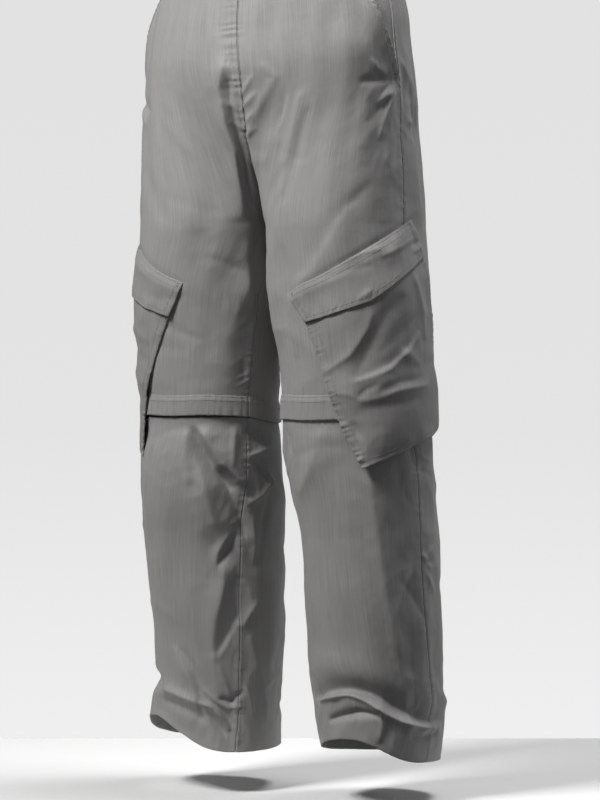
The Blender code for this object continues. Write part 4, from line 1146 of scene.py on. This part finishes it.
knee = {
    "top": -0.5935,
    "bottom": {"left": -0.6255, "right": -0.62},
    "sag": {"left": 0.001, "right": 0.011},
    "sagPlace": (236.0, 32.0),
    "flare": 0.0008,
    "seamPress": 0.25,  # share of the way down that is pressed thin
    "ripple": 0.0007,  # rise and fall of the whole band
    "grid": (121, 15),
    "pucker": (0.0005, 0.013, 0.01),
    "rippleLength": 0.12,
    "hemWave": 0.0011,
    "hemWaveLength": 0.021,
    "rows": (0.075, 0.27),  # shares of the way down
    "zip": (-0.604, -0.632),
    "zipGrid": (161, 7),
    "tapeThickness": 0.0012,
    "toothPitch": 0.0024,
    "toothSize": (0.0009, 0.003, 0.0008),  # half length along, half height, half depth
    "toothBevel": 0.00025,
}


def kneeHeight(leg, angle, down):  # a slightly wavy band that sags at the back of the inseam
    centre, reach = knee["sagPlace"]
    sag = sum(np.exp(-(((angle + offset - centre) / reach) ** 2)) for offset in (0.0, turn))
    ripple = knee["ripple"] * wave(angle * perDegree, knee["rippleLength"])
    return knee["top"] + down * (knee["bottom"][leg] - knee["top"]) - knee["sag"][leg] * sag + ripple


# Folds plus the flap's own thickness, flared downwards, puckered near its seam and waved along its free edge
def kneeRise(leg, angle, down):
    along = angle * perDegree
    rise = legRise(leg, angle, kneeHeight(leg, angle, down))
    rise = rise + (form["lay"] + form["cloth"]) * pressedThin(down / knee["seamPress"]) + knee["flare"] * down
    rise = rise + pucker(down * 0.03, along, *knee["pucker"]) * ease(down / 0.15)
    return rise + np.abs(wave(along, knee["hemWaveLength"])) * knee["hemWave"] * ease((down - 0.4) / 0.6)


def underKnee(leg, angle, height):  # outer face of the tape, under the flap
    return legRise(leg, angle, height) - form["cloth"] - form["lay"]


def addKnee(leg):
    for name, first, last in (("Front_", -seam, seam), ("Back_", seam, turn - seam)):
        across, down = gridShares(*knee["grid"])
        angle = first + edge + across * (last - first - 2 * edge)
        height, rise = kneeHeight(leg, angle, down), kneeRise(leg, angle, down)
        addCloth("kneeFlap" + name + leg, "knee_flap_" + name.lower() + leg, leg, angle, height, rise,
                 form["cloth"] * pressedThin(down / knee["seamPress"]))
    angle = np.linspace(-seam, turn - seam, 1600)
    for down in knee["rows"]:
        down = np.full_like(angle, down)
        sewOnLeg(leg, angle, kneeHeight(leg, angle, down), kneeRise(leg, angle, down))

    top, bottom = knee["zip"]
    columns, rows = knee["zipGrid"]
    ringAngles, heights = np.linspace(-seam, turn - seam, columns)[:-1], np.linspace(0, 1, rows)
    angle, height = np.meshgrid(ringAngles, top + heights * (bottom - top), indexing="ij")
    addCloth("kneeZip_" + leg, "knee_zip_" + leg, leg, angle, height, underKnee(leg, angle, height),
             knee["tapeThickness"], ring=True, look=tapeLook)
    addTeeth(leg)


def addTeeth(leg):  # two rows of teeth that meet at the middle of the tape
    size = np.array(knee["toothSize"])
    many = int(turn * perDegree / knee["toothPitch"])
    tooth = np.arange(many)
    angle = -seam + (tooth + 0.5) * turn / many
    height = np.full(many, sum(knee["zip"]) / 2) + np.where(tooth % 2, 0.0007, -0.0007)
    centres = clothPoints(leg, angle, height, underKnee(leg, angle, height) + size[2] * 0.35)
    normal = plainNormal(leg, angle, height)
    normal[:, 0] *= mirror[leg]
    up = unit(np.array([0.0, 0.0, 1.0]) - normal * normal[:, 2:])
    corners = np.array([(x, y, z) for x in (-1, 1) for y in (-1, 1) for z in (-1, 1)], float) * size
    cube = np.array([(0, 1, 3, 2), (4, 6, 7, 5), (0, 4, 5, 1), (2, 3, 7, 6), (0, 2, 6, 4), (1, 5, 7, 3)])
    points, faces = placeCopies(corners, cube, centres, (np.cross(up, normal), up, normal))
    piece = addPiece("zipTeeth_" + leg, points, [faces], teethLook, smooth=False)
    bevel = piece.modifiers.new("softEdges", "BEVEL")
    bevel.width = knee["toothBevel"]
    bevel.segments = 1


# Cargo pocket: the slanted bag and its flap

sewn = {
    "bagSize": (0.175, 0.24),  # metres across and down, for puckers and rows
    "flapSize": (0.18, 0.055),
    "flapBend": 0.43,  # share across at which the lower edge bends
    "bagPucker": (0.0013, 0.0068, 0.0075),
    "flapPucker": (0.00035, 0.0075, 0.006),
    "seamPress": 0.28,  # share of the way down the flap that is pressed thin
    "row": 0.0055,
    "lowRow": 0.89,  # share of the way down
    "cornerLift": 0.0012,
    "flapWave": (0.001, 0.06),
    "bagWave": (0.0006, 0.04),
}


def bagPlace(leg, across, down):  # ring angle and height at shares of the bag
    pocket = cargo[leg]
    frontAngle, frontHeight = lineThrough(pocket["frontEdge"], down)
    backAngle, backHeight = lineThrough(pocket["backEdge"], down)
    return frontAngle + across * (backAngle - frontAngle), frontHeight + across * (backHeight - frontHeight)


# Folds, the bag's lift and thickness, its own creases, puckers along both edges and a wave along its foot
def bagRise(leg, across, down):
    angle, height = bagPlace(leg, across, down)
    wide, tall = sewn["bagSize"]
    own = creaseRise(inMetres(bagCreases[leg]), angle, height) * ease((down - 0.1) / 0.12)
    rise = legRise(leg, angle, height) + cargoLift(leg, angle, height)
    rise = rise + bagThickness(leg, angle, height) + own
    strong = (0.45 + 0.55 * ease((down - 0.45) / 0.3)) * ease((down - 0.1) / 0.1)
    rise = rise + pucker(across * wide, down * tall, *sewn["bagPucker"]) * strong
    rise = rise + pucker((1 - across) * wide, down * tall + 0.4, *sewn["bagPucker"]) * 0.6
    depth, length = sewn["bagWave"]
    return rise + depth * wave(across * wide, length) * ease((down - 0.85) / 0.15)


def flapPlace(leg, across, down):  # straight lines from the seam at the top to the bent lower edge
    pocket, bent = cargo[leg], sewn["flapBend"]
    topAngle, topHeight = lineThrough(pocket["flapTop"], across)
    bend = np.where(across < bent, across / bent * 0.5, 0.5 + (across - bent) / (1 - bent) * 0.5)
    lowAngle, lowHeight = lineThrough(pocket["flapBottom"], bend)
    return topAngle + down * (lowAngle - topAngle), topHeight + down * (lowHeight - topHeight)


def flapThickness(down):  # pressed thin at its seam
    return form["cloth"] * pressedThin(down / sewn["seamPress"])


# Folds, a ramp from the seam up over the bag, the flap's thickness and creases, puckers along its rows,
# a lifted front corner and a wave along its free edge
def flapRise(leg, across, down):
    angle, height = flapPlace(leg, across, down)
    wide, tall = sewn["flapSize"]
    over = cargoLift(leg, angle, height) + bagThickness(leg, angle, height) + cargo["flapClearance"]
    lift = form["lay"] + ease(down / cargo["flapRamp"]) * (over - form["lay"])
    own = creaseRise(inMetres(flapCreases[leg]), angle, height)
    rise = legRise(leg, angle, height) + lift + flapThickness(down) + own
    border = np.minimum(np.minimum(across, 1 - across) * wide, (1 - down) * tall)
    rise = rise + pucker(np.abs(border - sewn["row"]), across * wide + down * tall, *sewn["flapPucker"])
    rise = rise + sewn["cornerLift"] * ease((down - 0.5) / 0.5) * ease((0.12 - across) / 0.12)
    depth, length = sewn["flapWave"]
    return rise + depth * np.abs(wave(across * wide, length)) * ease((down - 0.4) / 0.6)


def addCargoPocket(leg):
    across, down = gridShares(*cargo["bagGrid"])
    angle, height = bagPlace(leg, across, down)
    # Bag and flap take the pocket look, whose darker colour is painted shade
    addCloth("cargoBag_" + leg, "cargo_bag_" + leg, leg, angle, height, bagRise(leg, across, down),
             bagThickness(leg, angle, height), dropFrom=cargo["drop"], look=pocketShadedLook)
    across, down = gridShares(*cargo["flapGrid"], finer=0.2)
    angle, height = flapPlace(leg, across, down)
    addCloth("cargoFlap_" + leg, "cargo_flap_" + leg, leg, angle, height, flapRise(leg, across, down),
             flapThickness(down), dropFrom=cargo["drop"], look=pocketShadedLook)

    # Rows: round the flap, along its top, then down both edges of the bag and along its foot
    run = np.linspace(0.0, 1.0, 500)
    side, low = sewn["row"] / sewn["flapSize"][0], sewn["lowRow"]
    flapDown, flapAlong, bagDown = 0.03 + run * (low - 0.03), 0.012 + run * 0.976, 0.12 + run * 0.87
    flapRows = [
        (side, flapDown), (side + run * (1 - 2 * side), low), (1 - side, flapDown),
        (flapAlong, 0.045), (flapAlong, 0.16),
    ]
    bagRows = [(0.012, bagDown), (0.05, bagDown), (0.985, bagDown), (0.012 + run * 0.97, 0.975)]
    for place in flapRows:
        sewPiece(leg, flapPlace, flapRise, *place, dropFrom=cargo["drop"])
    for place in bagRows:
        sewPiece(leg, bagPlace, bagRise, *place, dropFrom=cargo["drop"])
    for across in (0.022, 0.978):
        sewPiece(leg, flapPlace, flapRise, across, 0.03 + np.linspace(0.0, 1.0, 14) * 0.14, **bartack)


# Fly lip and waistband

fly = {
    "angle": 5.4, "endAngle": 3.2, "overCentre": 0.0016, "bottom": -0.245, "taperStart": -0.16,
    "thickness": 0.001, "grid": (13, 141), "gather": (0.0006, 0.0085), "stitchedEdge": 0.0004,
    "edgePress": 0.25, "rows": (0.16, 0.84), "tackDown": 0.972,
}
waist = {
    "top": 0.0, "thickness": 0.0024, "grid": (241, 15), "underlap": 24.0, "underlapStart": 3.0, "step": 0.006,
    "pucker": (0.00025, 0.012, 0.006), "rowInset": 0.003, "rows": (0.08, 0.92),
    "rowStart": {"left": 0.5, "right": 5.5}, "rowEnd": 0.5,  # degrees from the band's ends
    "buttonAngle": -68.0, "buttonHeight": -0.019, "buttonTop": 0.0024,
    "buttonhole": (2.0, 0.01, 0.0014),  # degrees beside the button, half length, half height
    "threadHoles": (0.00126, 0.0016),  # half the distance between the two threads, half their length
}


def flyPlace(leg, across, down):  # a strip beside the centre seam that narrows towards its foot
    top = form["waistSeam"] - form["gap"] - form["cloth"] / 2
    height = top + down * (fly["bottom"] - top)
    taper = np.clip((fly["taperStart"] - height) / (fly["taperStart"] - fly["bottom"]), 0, 1)
    width = fly["angle"] + taper * (fly["endAngle"] - fly["angle"])
    return -seam + edge + across * width, height


def flyRise(leg, across, down):  # on the thigh front, pressed down at its stitched free edge, with gathers
    angle, height = flyPlace(leg, across, down)
    free = ease((1 - across) / fly["edgePress"]) * ease((1 - down) / 0.02)
    depth, length = fly["gather"]
    gathers = depth * wave(height + 0.02 * across, length) * ease((-0.12 - height) / 0.06)
    lift = fly["stitchedEdge"] + (form["lay"] + fly["thickness"] - fly["stitchedEdge"]) * free
    return thighFrontRise(leg, angle, height) + lift + gathers * across


def addFly(leg):
    across, down = gridShares(*fly["grid"])
    angle, height = flyPlace(leg, across, down)
    shift = -fly["overCentre"] * ease((0.35 - across) / 0.35)
    thickness = fly["thickness"] * pressedThin((1 - across) / fly["edgePress"])
    addCloth("flyLip", "fly_lip", leg, angle, height, flyRise(leg, across, down), thickness, shift=shift)
    for across in fly["rows"]:
        sewPiece(leg, flyPlace, flyRise, across, np.linspace(0.01, 0.985, 500))
    sewPiece(leg, flyPlace, flyRise, np.linspace(0.1, 0.9, 12), fly["tackDown"], **dict(bartack, wide=0.9))
    for side in legs:  # beside the centre seam below the fly
        sewPanel(side, thighFrontRise, -seam + rowBeside, np.linspace(fly["bottom"] - 0.004, -0.345, 300))


def waistRise(angle, down):  # level, with puckers along both rows
    toEdge = np.minimum(down, 1 - down) * abs(form["waistSeam"])
    rows = pucker(np.abs(toEdge - waist["rowInset"]), angle * perDegree, *waist["pucker"])
    return waist["thickness"] - form["cloth"] + rows


# The right end of the band runs on under the left: both skins of the tuck, a step between them, then the band
def addUnderlap(skins, angle, height, uv):
    under = -form["cloth"] - form["lay"] - waist["thickness"]
    start, end = waist["underlapStart"], waist["underlap"]
    tuckAngle = -seam + start + np.linspace(1, 0, 15)[:, None] * (end - start) + 0 * height[:15]
    tuckHeight = np.broadcast_to(height[:1], tuckAngle.shape)
    replaced = int((angle[:, 0] < angle[0, 0] + waist["step"] / perDegree).sum())
    replaced += replaced % 2
    for i, thick in enumerate((waist["thickness"], 0.0)):
        step = clothPoints("right", angle[:1], height[:1], np.full_like(height[:1], under + thick))
        tuck = clothPoints("left", tuckAngle, tuckHeight, np.full_like(tuckAngle, under + thick))
        skins[i] = np.concatenate([tuck, step, skins[i][replaced:]])
    head = len(tuck) + len(step)
    along = -0.0016 * (np.arange(head)[::-1, None] + 0 * height[:1])
    headUv = np.stack([np.broadcast_to(height[:1], along.shape), along], axis=-1)
    return skins, np.concatenate([headUv, uv[replaced:]])


def addWaistband():
    columns, rows = waist["grid"]
    across, down = np.meshgrid(shares(columns, 0.1), np.linspace(0, 1, rows), indexing="ij")
    inset = form["cloth"] / 2
    height = waist["top"] - inset + down * (form["waistSeam"] + 2 * inset - waist["top"])
    angle = -seam + edge + across * (turn - 2 * edge)
    for leg in legs:
        rise = waistRise(angle, down)
        skins = [clothPoints(leg, angle, height, rise - thick) for thick in (0.0, waist["thickness"])]
        uv = np.stack([height, angle * perDegree], axis=-1)
        if leg == "right":
            skins, uv = addUnderlap(skins, angle, height, uv)
        points, faces, flat = shellMesh(*skins, uv)
        piece = addPiece("waistband" + leg.capitalize(), points, faces, clothLook, flat)
        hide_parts("waistband_" + leg)
        run = np.linspace(-seam + waist["rowStart"][leg], turn - seam - waist["rowEnd"], 1200)
        for share in waist["rows"]:
            row = waist["top"] + share * form["waistSeam"]
            sewOnLeg(leg, run, row, waistRise(run, np.full_like(run, share)))


def addButtonThread():  # buttonhole edge beside the button, and the thread in its holes
    around = np.linspace(0, 2 * np.pi, 90)
    beside, halfLength, halfHeight = waist["buttonhole"]
    angle = waist["buttonAngle"] + beside + np.cos(around) * halfLength / perDegree
    height = waist["buttonHeight"] + np.sin(around) * halfHeight
    rise = np.full_like(angle, waist["thickness"] - form["cloth"])
    sewOnLeg("left", angle, height, rise, pitch=0.0009, crosswise=True, wide=0.7)
    apart, half = waist["threadHoles"]
    height = waist["buttonHeight"] + np.array([-half, 0.0, half])
    rise = rise[:3] + form["gap"] + waist["buttonTop"]
    for offset in (-apart, apart):
        angle = np.full(3, waist["buttonAngle"] + offset / perDegree)
        sewOnLeg("left", angle, height, rise, pitch=0.003, wide=1.1)


addWaistband()
addFly("left")
for leg in legs:
    addThigh(leg)
    addFacing(leg)
    print("thigh", leg, "done")
    addCargoPocket(leg)
    print("cargo pocket", leg, "done")
    addKnee(leg)
    addShin(leg)
    print("shin", leg, "done")
addButtonThread()
for leg in legs:
    addStitches("stitches" + leg.capitalize(), leg)

# The button keeps its solid and gets its finish
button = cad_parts["button"]
button.data.materials.clear()
button.data.materials.append(buttonLook)
